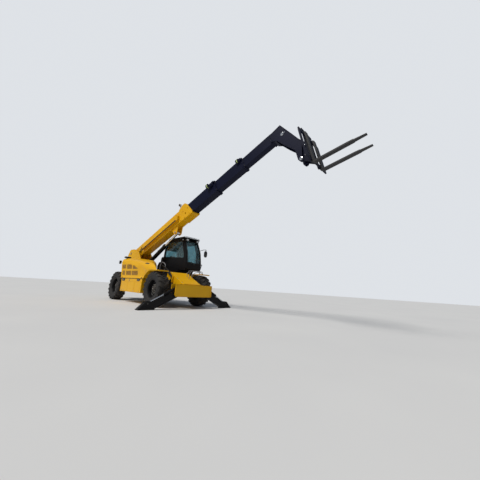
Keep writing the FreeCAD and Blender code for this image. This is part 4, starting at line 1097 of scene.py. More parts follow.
# ------------------------------------------------------------------ telescoping sections
for word, body, s1, wide, hi, lo, grow, inner in (
        ("second", "boom_second", 6.490, 0.155, 0.139, -0.371, 0.014, (0.1325, 0.1115, -0.3435)),
        ("third", "boom_third", 7.956, 0.1325, 0.1115, -0.3435, 0.012, (0.110, 0.0815, -0.3135))):
    o0 = at(*PIVOT)
    bm = bmesh.new()
    iy, ih, il = inner
    # pads between the collar's mouth and the next section, standing a little proud
    for sgn in (-1, 1):
        for n_ in (ih - 0.05, il + 0.05):
            add_box(bm, (s1 - 0.05, min(sgn * (iy + 0.0015), sgn * (iy + 0.020)), n_ - 0.04), (s1 + 0.007, max(sgn * (iy + 0.0015), sgn * (iy + 0.020)), n_ + 0.04), (BOOM_U, YY, BOOM_V), o0)
    for y in (-0.6 * iy, 0.6 * iy):
        add_box(bm, (s1 - 0.05, y - 0.035, ih + 0.0015), (s1 + 0.007, y + 0.035, ih + 0.020), (BOOM_U, YY, BOOM_V), o0)
        add_box(bm, (s1 - 0.05, y - 0.035, il - 0.020), (s1 + 0.007, y + 0.035, il - 0.0015), (BOOM_U, YY, BOOM_V), o0)
    # pad edges on the top block, in the dark trim plastic
    b0, b1 = (s1 - 0.120, s1 - 0.010)
    by = 0.093 if word == "second" else 0.0795
    for sgn in (-1, 1):
        add_box(bm, (b0 + 0.004, min(sgn * (by + 0.0002), sgn * (by + 0.006)), hi + 0.016), (b1 - 0.004, max(sgn * (by + 0.0002), sgn * (by + 0.006)), hi + 0.027), (BOOM_U, YY, BOOM_V), o0)
    add_box(bm, (b1 + 0.0002, -by + 0.006, hi + 0.016), (b1 + 0.006, by - 0.006, hi + 0.027), (BOOM_U, YY, BOOM_V), o0)
    bm2 = bmesh.new()
    ya, yb, na, nb, sb = ((-0.222, -0.300, -0.014, 0.131, 6.085) if word == "second" else (-0.188, -0.218, 0.015, 0.145, 7.690))
    add_prism(bm2, rounded([(sb + 0.050, na + 0.012, 0.01), (sb + 0.090, na + 0.012, 0.01), (sb + 0.090, nb - 0.012, 0.01), (sb + 0.050, nb - 0.012, 0.01)], 3), o0 + YY * (yb - 0.003), BOOM_U, BOOM_V, YY, 0.010)
    add_box(bm2, (sb + 0.045, yb + 0.004, na - 0.007), (sb + 0.095, ya - 0.008, na + 0.003), (BOOM_U, YY, BOOM_V), o0)
    piece("section_roller_" + word, bm2, PAD, body, 30, bevel=0.002)
    piece("section_pads_" + word, bm, TRIM, body, 30, bevel=0.0015)
    bm = bmesh.new()
    for sgn in (-1, 1):
        for n_ in (hi - 0.055, (hi + lo) / 2, lo + 0.055):
            for s in (s1 - 0.080, s1 - 0.030):
                add_bolt(bm, bo(s, sgn * (wide + grow), n_), YY * sgn, 0.024, 0.010)
    for y in (-0.6 * wide, 0, 0.6 * wide):
        add_bolt(bm, bo(s1 - 0.055, y, lo - grow), -BOOM_V, 0.024, 0.010)
    for y in (-0.05, 0.05):
        for s in (b0 + 0.030, b1 - 0.030):
            add_bolt(bm, bo(s, y, hi + 0.030), BOOM_V, 0.022, 0.010)
    # guide block standing out from the collar's right shoulder, with a pale roller
    ya, yb, na, nb, sb = ((-0.222, -0.300, -0.014, 0.131, 6.085) if word == "second" else (-0.188, -0.218, 0.015, 0.145, 7.690))
    add_prism(bm, rounded([(s1 - 0.108, hi - 0.055), (s1 - 0.015, hi - 0.055), (s1 - 0.015, hi - 0.015, 0.01), (s1 - 0.108, hi - 0.015, 0.01)], 2), o0 + YY * ((ya - wide - grow) / 2), BOOM_U, BOOM_V, YY, abs(abs(ya) - wide - grow) + 0.004)
    add_prism(bm, rounded([(s1 - 0.015, hi - 0.075, 0.01), (s1 - 0.015, hi - 0.008, 0.02), (sb + 0.13, nb - 0.01, 0.03), (sb, nb - 0.01, 0.02), (sb, na - 0.01, 0.02), (sb + 0.16, na - 0.01, 0.03)], 3), o0 + YY * (ya - 0.004), BOOM_U, BOOM_V, YY, 0.010)
    add_prism(bm, rounded([(sb, na, 0.015), (sb + 0.14, na, 0.015), (sb + 0.14, nb, 0.02), (sb, nb, 0.02)], 3), o0 + YY * ((ya + yb) / 2 - 0.004), BOOM_U, BOOM_V, YY, abs(yb - ya) - 0.006)
    # a lug with an eye behind the block
    add_prism(bm, rounded([(b0 - 0.085, hi + 0.0002), (b0 - 0.002, hi + 0.0002), (b0 - 0.002, hi + 0.060, 0.02), (b0 - 0.050, hi + 0.060, 0.02)], 4), o0 + YY * -0.045, BOOM_U, BOOM_V, YY, 0.016)
    add_cyl(bm, bo(b0 - 0.030, -0.068, hi + 0.036), bo(b0 - 0.030, -0.022, hi + 0.036), 0.012, 18, lip=0.002)
    add_bead(bm, [bo(b0, by + 0.002, hi + 0.014), bo(b1, by + 0.002, hi + 0.014)], 0.004)
    add_bead(bm, [bo(b0, -by - 0.002, hi + 0.014), bo(b1, -by - 0.002, hi + 0.014)], 0.004)
    piece("section_bolts_" + word, bm, NAVY_WITH_SKY_SHEEN, body, 30)

# ------------------------------------------------------------------ boom head, pins and hoses
bm = bmesh.new()
NECK = [(9.205, -0.008), (9.685, 0.040), (9.878, -0.609), (9.966, -0.925)]
o0 = at(*PIVOT)
# closing plate over the neck's back, and gusset rims on its outer faces
add_prism(bm, [(9.2715, -0.0165), (9.660, 0.016), (9.705, -0.120), (9.695, -0.124), (9.652, 0.004), (9.2715, -0.0285)], o0, BOOM_U, BOOM_V, YY, 0.306)
RIM = [(9.220, -0.035), (9.668, 0.010), (9.850, -0.612), (9.940, -0.930), (10.000, -1.080)]
for sgn in (-1, 1):
    for a, b_ in zip(RIM, RIM[1:]):
        add_bead(bm, [bo(a[0], sgn * 0.1705, a[1]), bo(b_[0], sgn * 0.1705, b_[1])], 0.006)
    low = [(9.272, -0.335), (9.390, -0.440), (9.552, -0.790), (9.760, -1.205), (9.712, -1.560)]
    for a, b_ in zip(low, low[1:]):
        add_bead(bm, [bo(a[0], sgn * 0.1705, a[1]), bo(b_[0], sgn * 0.1705, b_[1])], 0.006)
    # weld round the section's end
    add_bead(bm, [bo(9.203, sgn * 0.158, -0.045), bo(9.203, sgn * 0.158, -0.305)], 0.006)
piece("neck_rims", bm, NAVY_WITH_SKY_SHEEN, "boom_fourth", 60)
bm = bmesh.new()
hitch = at(*HITCH)
tb = at(8.192, 0, 5.457)
for sgn in (-1, 1):
    add_lathe(bm, [(0, 0), (0, 0.058), (0.008, 0.058), (0.010, 0.054), (0.010, 0)], tb + YY * sgn * 0.1705, YY * sgn, 32)
    add_cap(bm, tb + YY * sgn * 0.1805, YY * sgn, 0.040, 0.016)
    add_lathe(bm, [(0, 0), (0, 0.055), (0.008, 0.055), (0.010, 0.051), (0.010, 0)], hitch + YY * sgn * 0.1705, YY * sgn, 32)
    add_cap(bm, hitch + YY * sgn * 0.1805, YY * sgn, 0.040, 0.016)
    add_keeper(bm, tb + YY * sgn * 0.1705, YY * sgn, BOOM_U, 0.048)
piece("neck_pin_caps", bm, CHROME, "boom_fourth", 30)
for sgn, k in ((-1, 0), (1, 1)):
    y = sgn * 0.130
    hose("neck_hose_%d" % k, [bo(9.285, y * 0.98, -0.12), bo(9.33, y, -0.14), bo(9.42, y, -0.22), bo(9.52, y, -0.40), bo(9.60, y, -0.62), bo(9.66, y, -0.80)], 0.0095, "boom_fourth")

te = at(8.912, 0, 4.777)
bm = bmesh.new()
for sgn in (-1, 1):
    add_cyl(bm, te + YY * sgn * 0.047, te + YY * sgn * 0.132, 0.0215, 24, lip=0.002)
    add_cap(bm, te + YY * sgn * 0.1265, YY * sgn, 0.033, 0.012, nipple=False)
piece("tilt_eye_pin", bm, CHROME, "carriage", 30)


def gland(name, base, tip, r, a, b_, body, bolts=6):
    """The gland nut and wiper at a barrel's end."""
    base, tip = Vector(base), Vector(tip)
    d = (tip - base).normalized()
    bm = bmesh.new()
    add_lathe(bm, [(a, r * 0.98), (a, r * 1.10), (a + 0.008, r * 1.13), (b_ - 0.012, r * 1.13), (b_, r * 1.05), (b_, r * 0.60)], base, d, 40, closed=False)
    if bolts:
        _, u, v = frame_of(d)
        for i in range(bolts):
            t = 2 * math.pi * (i + 0.5) / bolts
            add_bolt(bm, base + d * b_ + (u * math.cos(t) + v * math.sin(t)) * r * 0.86, d, r * 0.20, r * 0.11, washer=False)
    piece(name, bm, BLACK, body, 30)


LB, LT = at(-0.500, 0, 1.080), at(2.778256, 0, 2.931342)
gland("lift_gland", LB, LT, 0.092, 2.640, 2.752, "lift_barrel", 8)
d = (LT - LB).normalized()
side = YY
up = d.cross(side) * -1 if (d.cross(side)).z < 0 else d.cross(side)
bm = bmesh.new()
q = [LB + d * 0.20 + up * 0.092, LB + d * 0.20 + up * 0.125, LB + d * 2.56 + up * 0.125, LB + d * 2.56 + up * 0.092]
add_tube(bm, bent(q, 0.03), 0.0105, 12)
for s in (0.75, 1.45, 2.15):
    c = LB + d * s + up * 0.125
    add_box(bm, (-0.018, -0.024, -0.034), (0.018, 0.024, 0.014), (d, side, up), c)
    add_bolt(bm, c + up * 0.014, up, 0.014, 0.007, washer=False)
for s in (0.20, 2.56):
    add_cyl(bm, LB + d * s + up * 0.085, LB + d * s + up * 0.108, 0.024, 20, lip=0.002)
piece("lift_barrel_pipe", bm, BLACK, "lift_barrel", 30)

TBm, TEm = Vector(tb), Vector(te)
gland("tilt_gland", TBm, TEm, 0.062, 0.665, 0.735, "tilt_barrel", 0)
d = (TEm - TBm).normalized()
up = d.cross(YY)
up = up if up.x > 0 else -up
bm = bmesh.new()
for s in (0.13, 0.62):
    add_cyl(bm, TBm + d * s + up * 0.055, TBm + d * s + up * 0.080, 0.018, 18, lip=0.002)
add_tube(bm, bent([TBm + d * 0.62 + up * 0.078, TBm + d * 0.56 + up * 0.084, TBm + d * 0.20 + up * 0.084, TBm + d * 0.13 + up * 0.078], 0.02), 0.008, 10)
piece("tilt_ports", bm, BLACK, "tilt_barrel", 30)

# ------------------------------------------------------------------ fork carriage
bm = bmesh.new()
for sgn in (-1, 1):
    # fork locks on the top rail, keepers below
    y = sgn * 0.264
    add_cyl(bm, ca(0.310, y - 0.0, 0.651), ca(0.310, y, 0.700), 0.014, 18, lip=0.002)
    add_tube(bm, bent([ca(0.310, y, 0.697), ca(0.285, y, 0.712), ca(0.285, y - 0.05, 0.712)], 0.01), 0.006, 10)
    for b_ in (0.605, -0.285):
        for yy in (0.35, 0.48, 0.59):
            add_bolt(bm, ca(0.2885, sgn * yy, b_), -CAR_U, 0.026, 0.012)
for y in (-0.30, -0.15, 0.0, 0.15, 0.30):
    add_bolt(bm, ca(0.284, y, 0.8505), CAR_V, 0.018, 0.008)
piece("carriage_bolts", bm, ZINC, "carriage", 30)
bm = bmesh.new()
for sgn in (-1, 1):
    for y in (0.187, 0.257):
        for b0, b1 in ((-0.24, 0.56),):
            add_bead(bm, [ca(0.2895, sgn * y, b0), ca(0.2895, sgn * y, b1)], 0.006)
    for y in (0.075, 0.105):
        add_bead(bm, [ca(0.2485, sgn * y, -0.20), ca(0.2485, sgn * y, 0.40)], 0.005)
# notches of the upper rail, where the forks lock
for k in range(-9, 10):
    if abs(k) in (4, ):
        continue
    add_box(bm, (0.2895, k * 0.065 - 0.006, 0.6495), (0.3285, k * 0.065 + 0.006, 0.6535), (CAR_U, YY, CAR_V), hitch)
piece("carriage_welds", bm, FORK, "carriage", 60)
bm = bmesh.new()
# round load chains' guard bars over the carriage
for y in (-0.15, 0.0, 0.15):
    add_tube(bm, bent([ca(0.300, y, 0.652), ca(0.284, y, 0.70), ca(0.284, y, 0.793)], 0.02), 0.010, 10)
piece("carriage_bars", bm, FORK, "carriage", 30)

# ------------------------------------------------------------------ stabilisers
bm = {}
for word, sgn in (("left", 1), ("right", -1)):
    bm = bmesh.new()
    c = at(4.310, sgn * 1.660, 0.180)
    for k in (-1, 1):
        add_cyl(bm, c + XX * k * 0.0295, c + XX * k * 0.082, 0.0125, 20, lip=0.002)
        add_cap(bm, c + XX * k * 0.0755, XX * k, 0.027, 0.012, nipple=k > 0)
    piece("stabiliser_eye_pin_" + word, bm, GREY, "stabiliser_" + word, 30)
    bm = bmesh.new()
    # foot: two ribs and four bolts on its top edge
    for x in (4.222, 4.398):
        add_prism(bm, rounded([(1.46, 0.0262), (1.93, 0.0262), (1.90, 0.070, 0.02), (1.55, 0.070, 0.03)], 3), at(x, 0, 0), YY * sgn, ZZ, XX, 0.010)
    for y in (1.50, 1.88):
        for x in (4.245, 4.375):
            pass
    for y in (1.470, 1.905):
        add_bolt(bm, at(4.229, sgn * y, 0.0262), ZZ, 0.020, 0.010)
        add_bolt(bm, at(4.391, sgn * y, 0.0262), ZZ, 0.020, 0.010)
    # weld lines along the leg's edges
    top = [(0.70, 0.578), (1.46, 0.226)]
    bot = [(0.62, 0.400), (1.37, 0.050)]
    for x in (4.2335, 4.3865):
        for line in (top, bot):
            add_bead(bm, [at(x, sgn * line[0][0], line[0][1] - (0.018 if line is top else -0.018)), at(x, sgn * line[1][0], line[1][1] - (0.018 if line is top else -0.018))], 0.005)
    piece("stabiliser_trim_" + word, bm, BLACK, "stabiliser_" + word, 40)
    bm = bmesh.new()
    p0, p1 = at(4.310, sgn * 0.500, 0.770), at(4.310, sgn * 1.660, 0.180)
    dd = (p1 - p0).normalized()
    add_lathe(bm, [(0.640, 0.0445), (0.640, 0.050), (0.646, 0.052), (0.700, 0.052), (0.712, 0.046), (0.712, 0.028)], p0, dd, 32)
    piece("stabiliser_gland_" + word, bm, BLACK, "stabiliser_barrel_" + word, 30)

# ------------------------------------------------------------------ beam and nose
bm = bmesh.new()
X1 = 4.4500
rimw = 0.016
ring = rounded([(-0.785, 0.405, 0.02), (0.785, 0.405, 0.02), (0.785, 0.785, 0.02), (-0.785, 0.785, 0.02)], 4)
add_ring_tube(bm, ring, at(X1 + 0.0012, 0, 0), YY, ZZ, XX, rimw, 0.006)
for y in (-0.74, 0.74):
    for z in (0.45, 0.74):
        add_bolt(bm, at(X1, y, z), XX, 0.026, 0.012)
add_bead(bm, [at(4.188, -0.79, 0.8005), at(4.188, 0.79, 0.8005)], 0.006)
add_bead(bm, [at(4.172, -0.40, 0.803), at(4.330, -0.403, 0.803)], 0.006)
for sgn in (-1, 1):
    add_bead(bm, [at(3.10, sgn * 0.4015, 0.955), at(3.598, sgn * 0.4015, 0.955)], 0.006)
    add_bead(bm, [at(3.66, sgn * 0.4015, 0.485), at(4.04, sgn * 0.4015, 0.485)], 0.006)
    add_bead(bm, [at(4.1685, sgn * 0.4015, 0.57), at(4.1685, sgn * 0.4015, 0.80)], 0.006)
piece("beam_rims", bm, YELLOW, "chassis", 40)

bm = bmesh.new()
# gusset on the nose's sides
for sgn in (-1, 1):
    add_prism(bm, rounded([(3.545, 0.86), (3.600, 0.84, 0.01), (3.600, 1.075, 0.02), (3.545, 1.105, 0.02)], 3), at(0, sgn * 0.428, 0), XX, ZZ, YY, 0.055)
piece("nose_gussets", bm, YELLOW, "chassis", 30, bevel=0.003)
bm = bmesh.new()
for x, z in ((3.20, 1.238), (3.20, 1.238)):
    pass
for y in (-0.36, 0.36):
    for k, (x, z) in enumerate(((3.16, 1.2385), (3.28, 1.2385))):
        add_bolt(bm, at(x, y, z), ZZ, 0.022, 0.010)
sl = (Vector((4.240, 0, 0.824)) - Vector((3.700, 0, 1.055))).normalized()
sn = Vector((-sl.z, 0, sl.x))
for y in (-0.36, 0.36):
    for t in (0.12, 0.46):
        p = Vector((3.700, y, 1.055)) + sl * t
        add_bolt(bm, at(*p), sn, 0.022, 0.010)
piece("nose_bolts", bm, ZINC, "chassis", 30)

# hoses over the nose's right side, from the valley beside the hood down to the axle
for k in range(4):
    o = 0.030 * k
    hose("nose_hose_%d" % k, [at(2.62 + o * 0.6, -0.405 - o * 0.5, 1.30), at(2.70 + o, -0.46 - o * 0.6, 1.40 + o * 0.5), at(2.86 + o, -0.52 - o * 0.8, 1.43 + o * 0.6), at(3.06 + o, -0.49 - o * 0.6, 1.33 + o * 0.7), at(3.26 + o, -0.462 - o * 0.25, 1.19 + o * 0.7),
                              at(3.47 + o, -0.445 - o * 0.2, 1.07 + o * 0.5), at(3.50 + o * 0.6, -0.43 - o * 0.2, 0.98), at(3.36, -0.425 - o * 0.4, 0.90 - o * 0.3)], 0.0125, "chassis")
bm = bmesh.new()
add_box(bm, (2.56, -0.470, 1.255), (2.74, -0.398, 1.300), (XX, YY, ZZ), at(0, 0, 0))
add_box(bm, (2.60, -0.401, 0.952), (2.70, -0.389, 1.300), (XX, YY, ZZ), at(0, 0, 0))
add_box(bm, (3.30, -0.440, 0.80), (3.40, -0.4005, 0.90), (XX, YY, ZZ), at(0, 0, 0))
piece("hose_brackets", bm, GREY, "chassis", 30, bevel=0.003)

# grey bent bar beside the hood's end, a small lamp, and the bars on the nose's left
bm = bmesh.new()
add_tube(bm, bent([at(2.44, -0.392, 0.955), at(2.44, -0.392, 1.50), at(2.47, -0.365, 1.645), at(2.67, -0.365, 1.600), at(2.82, -0.370, 1.50), at(2.80, -0.390, 1.30), at(2.80, -0.392, 0.955)], 0.07), 0.014, 14)
piece("hood_side_bar", bm, RAIL, "chassis", 30)
bm = bmesh.new()
for x, y0 in ((3.62, 0.0), (3.80, 0.02)):
    zt = 1.238 - max(0.0, x - 3.33) * 0.4946
    if x > 3.70:
        zt = 1.055 - (x - 3.70) * 0.4278
    add_tube(bm, bent([at(x, 0.17 - y0, zt - 0.006), at(x, 0.18 - y0, 1.24), at(x, 0.27 - y0, 1.335), at(x, 0.60, 1.345), at(x, 0.76, 1.330), at(x, 0.80, 1.243)], 0.06), 0.0105, 12)
x = 3.71
add_tube(bm, bent([at(x, 0.33, 1.048), at(x, 0.335, 1.16), at(x, 0.41, 1.225), at(x, 0.52, 1.285), at(x, 0.74, 1.320), at(x, 0.86, 1.243)], 0.06), 0.0105, 12)
add_tube(bm, [at(3.62, 0.60, 1.345), at(3.80, 0.60, 1.345)], 0.009, 12)
piece("nose_left_bars", bm, RAIL, "chassis", 30)
bm = bmesh.new()
for x, y, z in ((3.62, 0.80, 1.2442), (3.80, 0.80, 1.2042), (3.71, 0.86, 1.2442)):
    if x < 3.79:
        add_cyl(bm, at(x, y, z), at(x, y, z + 0.006), 0.024, 18, lip=0.001)
piece("nose_bar_feet", bm, RAIL, "chassis", 30)
bm = bmesh.new()
add_tube(bm, bent([at(3.20, 1.09, 1.244), at(3.20, 1.10, 1.42), at(3.20, 1.15, 1.58), at(3.20, 1.165, 1.64)], 0.05), 0.012, 12)
add_lathe(bm, [(0, 0), (0, 0.018), (0.05, 0.020), (0.056, 0.014), (0.056, 0)], at(3.20, 1.165, 1.63), ZZ, 20)
piece("front_left_marker", bm, RAIL, "chassis", 30)

# ------------------------------------------------------------------ hood, pod and tank details
bm = bmesh.new()
# black cowl on the hood's rear top edge and the lamp at its rear corner
add_prism(bm, rounded([(0.395, 1.800), (0.560, 1.822), (0.555, 1.868, 0.02), (0.400, 1.858, 0.03)], 4), at(0, -0.985, 0) + ZZ * 0.0, XX, ZZ, YY, 0.25)
for k in range(6):
    add_box(bm, (0.385, -1.085 + k * 0.036, 1.815), (0.398, -1.067 + k * 0.036, 1.850), (XX, YY, ZZ), at(0, 0, 0))
add_tube(bm, bent([at(0.44, -1.130, 1.58), at(0.36, -1.155, 1.60), at(0.315, -1.185, 1.60)], 0.02), 0.010, 10)
add_prism(bm, rounded([(-0.028, -0.070, 0.012), (0.022, -0.075, 0.014), (0.022, 0.075, 0.014), (-0.028, 0.070, 0.012)], 4), at(0.300, -1.200, 1.600), XX, ZZ, YY, 0.085)
piece("hood_rear_trim", bm, TRIM, "engine_hood", 30, bevel=0.003)
bm = bmesh.new()
add_prism(bm, rounded([(-0.034, -0.060, 0.010), (0.034, -0.060, 0.010), (0.034, -0.004, 0.010), (-0.034, -0.004, 0.010)], 3), at(0.2705, -1.200, 1.600), YY, ZZ, XX, 0.005)
piece("rear_lamp_red_right", bm, RED, "engine_hood", 30)
bm = bmesh.new()
add_prism(bm, rounded([(-0.034, 0.004, 0.010), (0.034, 0.004, 0.010), (0.034, 0.060, 0.010), (-0.034, 0.060, 0.010)], 3), at(0.2705, -1.200, 1.600), YY, ZZ, XX, 0.005)
piece("rear_lamp_amber_right", bm, AMBER, "engine_hood", 30)
# rear lamp on the left side, on the step box's rear
bm = bmesh.new()
add_prism(bm, rounded([(-0.028, -0.070, 0.012), (0.022, -0.075, 0.014), (0.022, 0.075, 0.014), (-0.028, 0.070, 0.012)], 4), at(0.655, 1.020, 1.500), XX, ZZ, YY, 0.085)
add_box(bm, (0.675, 1.0, 1.48), (0.70, 1.04, 1.52), (XX, YY, ZZ), at(0, 0, 0))
piece("rear_lamp_body_left", bm, TRIM, "chassis", 30, bevel=0.003)
bm = bmesh.new()
add_prism(bm, rounded([(-0.034, -0.060, 0.010), (0.034, -0.060, 0.010), (0.034, -0.004, 0.010), (-0.034, -0.004, 0.010)], 3), at(0.6255, 1.020, 1.500), YY, ZZ, XX, 0.005)
piece("rear_lamp_red_left", bm, RED, "chassis", 30)
bm = bmesh.new()
add_prism(bm, rounded([(-0.034, 0.004, 0.010), (0.034, 0.004, 0.010), (0.034, 0.060, 0.010), (-0.034, 0.060, 0.010)], 3), at(0.6255, 1.020, 1.500), YY, ZZ, XX, 0.005)
piece("rear_lamp_amber_left", bm, AMBER, "chassis", 30)

# dark strip inside the hood's wheel arch: painted shade of the arch's inner lip
bm = bmesh.new()
arch = [(2.768, 0.932), (2.834, 1.062), (2.90, 1.124), (3.066, 1.2275), (3.20, 1.2285), (3.64, 1.2285)]
arch = rounded([(p[0], p[1], 0.0 if i in (0, 5) else 0.05) for i, p in enumerate(arch)], 4)
rings = []
for i, p in enumerate(arch):
    a = Vector(arch[max(0, i - 1)]) if i else Vector(p)
    b_ = Vector(arch[min(len(arch) - 1, i + 1)])
    t = (b_ - a).normalized()
    nrm = Vector((-t.y, t.x))
    o = Vector(p)
    y0, y1 = -1.1695, -1.156
    rings.append([at(o.x, y0, o.y), at(o.x, y1, o.y), at(o.x + nrm.x * 0.018, y1, o.y + nrm.y * 0.018), at(o.x + nrm.x * 0.018, y0, o.y + nrm.y * 0.018)])
add_loft(bm, rings)
piece("arch_lip_painted_shade", bm, SEAL, "engine_hood", 30)

# notches of the side tank as flat dark sheets of painted shade, with their latches, straps, drain plug and the pale
# mark
bm = bmesh.new()
for x0, x1, z0, z1 in ((0.775, 1.095, 0.812, 0.9095), (2.185, 2.480, 0.825, 0.9095)):
    add_prism(bm, rounded([(x0, z1), (x1, z1), (x1 - 0.03, z0, 0.02), (x0 + 0.03, z0, 0.02)], 4), at(0, -1.1512, 0), XX, ZZ, YY, 0.003)
piece("tank_notch_painted_shade", bm, TRIM, "chassis", 30)
bm = bmesh.new()
for x, z in ((0.93, 0.862), (2.33, 0.868)):
    add_prism(bm, rounded([(-0.050, -0.020, 0.012), (0.050, -0.020, 0.012), (0.050, 0.020, 0.012), (-0.050, 0.020, 0.012)], 4), at(x, -1.156, z), XX, ZZ, YY, 0.008)
    add_tube(bm, bent([at(x - 0.035, -1.158, z), at(x - 0.035, -1.168, z), at(x + 0.035, -1.168, z), at(x + 0.035, -1.158, z)], 0.006), 0.004, 8)
add_prism(bm, rounded([(-0.016, -0.055, 0.006), (0.016, -0.055, 0.006), (0.016, 0.055, 0.006), (-0.016, 0.055, 0.006)], 3), at(1.520, -1.1535, 0.845), XX, ZZ, YY, 0.007)
for x in (0.90, 2.50):
    for z in (0.452,):
        add_bolt(bm, at(x, -1.150, z), -YY, 0.022, 0.010)
for x in (1.15, 2.05):
    add_bolt(bm, at(x, -1.150, 0.452), -YY, 0.022, 0.010)
add_bolt(bm, at(1.60, -0.80, 0.400), -ZZ, 0.036, 0.016)
piece("tank_fittings", bm, ZINC, "chassis", 30)
bm = bmesh.new()
ring = rounded([(0.800, 0.425, 0.03), (2.655, 0.425, 0.03), (2.628, 0.800, 0.03), (0.742, 0.800, 0.03)], 5)
add_ring_tube(bm, ring, at(0, -1.1515, 0), XX, ZZ, YY, 0.010, 0.005)
for x in (1.42, 2.02):
    add_box(bm, (x, -1.1535, 0.428), (x + 0.012, -1.1495, 0.797), (XX, YY, ZZ), at(0, 0, 0))
piece("tank_press_lines", bm, YELLOW, "chassis", 30)

# tower: bolts
bm = bmesh.new()
for sgn in (-1, 1):
    for x, z in ((-0.95, 1.30), (-0.70, 1.30), (-0.45, 1.30), (-0.20, 1.30)):
        add_bolt(bm, at(x, sgn * 0.335, z - 0.12), YY * sgn, 0.030, 0.014)
piece("tower_bolts", bm, YELLOW, "chassis", 30)

# ------------------------------------------------------------------ counterweight and hitch
bm = bmesh.new()
for sgn in (-1, 1):
    for y in (0.20, 0.52):
        for z in (0.66, 1.12):
            if z > 1 and y > 0.4:
                continue
            add_lathe(bm, [(0, 0), (0, 0.038), (0.004, 0.038), (0.006, 0.036), (0.006, 0.0)], at(-1.2405, sgn * y, z), -XX, 26)
            add_bolt(bm, at(-1.2455, sgn * y, z), -XX, 0.036, 0.020)
for sgn in (-1, 1):
    # lifting eyes on top
    add_tube(bm, bent([at(-1.12, sgn * 0.45 - 0.035, 1.199), at(-1.12, sgn * 0.45 - 0.035, 1.245), at(-1.12, sgn * 0.45 + 0.035, 1.245), at(-1.12, sgn * 0.45 + 0.035, 1.199)], 0.03), 0.010, 12)
piece("counterweight_bolts", bm, GREY, "chassis", 30)
bm = bmesh.new()
c = at(-1.300, 0, 0.640)
add_cyl(bm, c - ZZ * 0.085, c + ZZ * 0.070, 0.0145, 20, lip=0.003)
add_tube(bm, bent([c + ZZ * 0.066, c + ZZ * 0.095, c + ZZ * 0.110 + YY * 0.030, c + ZZ * 0.110 + YY * 0.080], 0.012), 0.007, 10)
add_tube(bm, bent([c - ZZ * 0.076 - YY * 0.018, c - ZZ * 0.076 + YY * 0.018], 0.01), 0.003, 8)
piece("hitch_pin", bm, ZINC, "chassis", 30)
bm = bmesh.new()
for sgn in (-1, 1):
    add_prism(bm, rounded([(0.435, 1.045, 0.012), (0.495, 1.045, 0.004), (0.495, 1.115, 0.004), (0.435, 1.115, 0.012)], 3), at(-1.2815, 0, 0), YY * sgn, ZZ, XX, 0.006)
piece("rear_panel_lamps_amber", bm, AMBER, "chassis", 30)
bm = bmesh.new()
for sgn in (-1, 1):
    add_prism(bm, rounded([(0.499, 1.045, 0.004), (0.556, 1.045, 0.012), (0.556, 1.115, 0.012), (0.499, 1.115, 0.004)], 3), at(-1.2815, 0, 0), YY * sgn, ZZ, XX, 0.006)
piece("rear_panel_lamps_red", bm, RED, "chassis", 30)

# ------------------------------------------------------------------ cab outside
SIDE_WIN = [(1.480, 1.975, 0.06), (3.030, 1.885, 0.06), (2.940, 2.260, 0.06), (2.740, 2.620, 0.07), (1.740, 2.630, 0.07), (1.480, 2.380, 0.06)]
DOOR_WIN = [(1.790, 1.620, 0.06), (2.900, 1.620, 0.06), (2.915, 1.700, 0.05), (2.840, 2.190, 0.2), (2.650, 2.570, 0.07), (1.800, 2.580, 0.07)]
bm = bmesh.new()
add_ring_tube(bm, rounded(SIDE_WIN, 6), at(0, 0.2985, 0), XX, ZZ, YY, 0.026, 0.010)
add_ring_tube(bm, rounded([(0.381, 1.801, 0.06), (0.999, 1.801, 0.06), (0.999, 2.329, 0.06), (0.381, 2.329, 0.06)], 6), at(1.3495, 0, 0), YY, ZZ, XX, 0.024, 0.008)
piece("cab_seals", bm, SEAL, "chassis", 30)
bm = bmesh.new()
add_ring_tube(bm, rounded(DOOR_WIN, 6), at(0, 1.0815, 0), XX, ZZ, YY, 0.026, 0.008)
piece("door_seal", bm, SEAL, "cab_door", 30)
bm = bmesh.new()
# windscreen frame: bars down both edges and across
for y in (0.352, 1.028):
    pts = [at(3.268, y, 1.655), at(3.262, y, 1.74), at(3.158, y, 2.172), at(3.03, y, 2.40), at(2.892, y, 2.640)]
    add_tube(bm, bent(pts, 0.1), 0.014, 10)
add_tube(bm, [at(3.262, 0.355, 1.668), at(3.262, 1.025, 1.668)], 0.014, 10)
add_tube(bm, [at(2.900, 0.355, 2.636), at(2.900, 1.025, 2.636)], 0.014, 10)
piece("windscreen_seal", bm, SEAL, "chassis", 40)
bm = bmesh.new()
# wiper: motor cap, arm and blade on the windscreen
wp = [at(3.278, 0.69, 1.640), at(3.290, 0.70, 1.70), at(3.262, 0.78, 1.84), at(3.222, 0.86, 2.00)]
add_lathe(bm, [(0, 0), (0, 0.030), (0.018, 0.028), (0.024, 0.016), (0.024, 0)], at(3.262, 0.69, 1.640), XX, 20)
add_tube(bm, bent(wp, 0.03), 0.006, 8)
add_tube(bm, [at(3.262, 0.74, 1.805), at(3.230, 0.835, 1.93), at(3.182, 0.93, 2.095)], 0.007, 6)
add_tube(bm, [at(3.275, 0.80, 1.70), at(3.255, 0.885, 1.80)], 0.003, 6)
# side wiper arm on the right window
add_lathe(bm, [(0, 0), (0, 0.024), (0.014, 0.022), (0.018, 0.012), (0.018, 0)], at(2.25, 0.300, 1.945), -YY, 20)
add_tube(bm, bent([at(2.25, 0.286, 1.945), at(2.30, 0.284, 2.05), at(2.44, 0.292, 2.22)], 0.03), 0.005, 8)
piece("cab_wipers", bm, TRIM, "chassis", 30)
bm = bmesh.new()
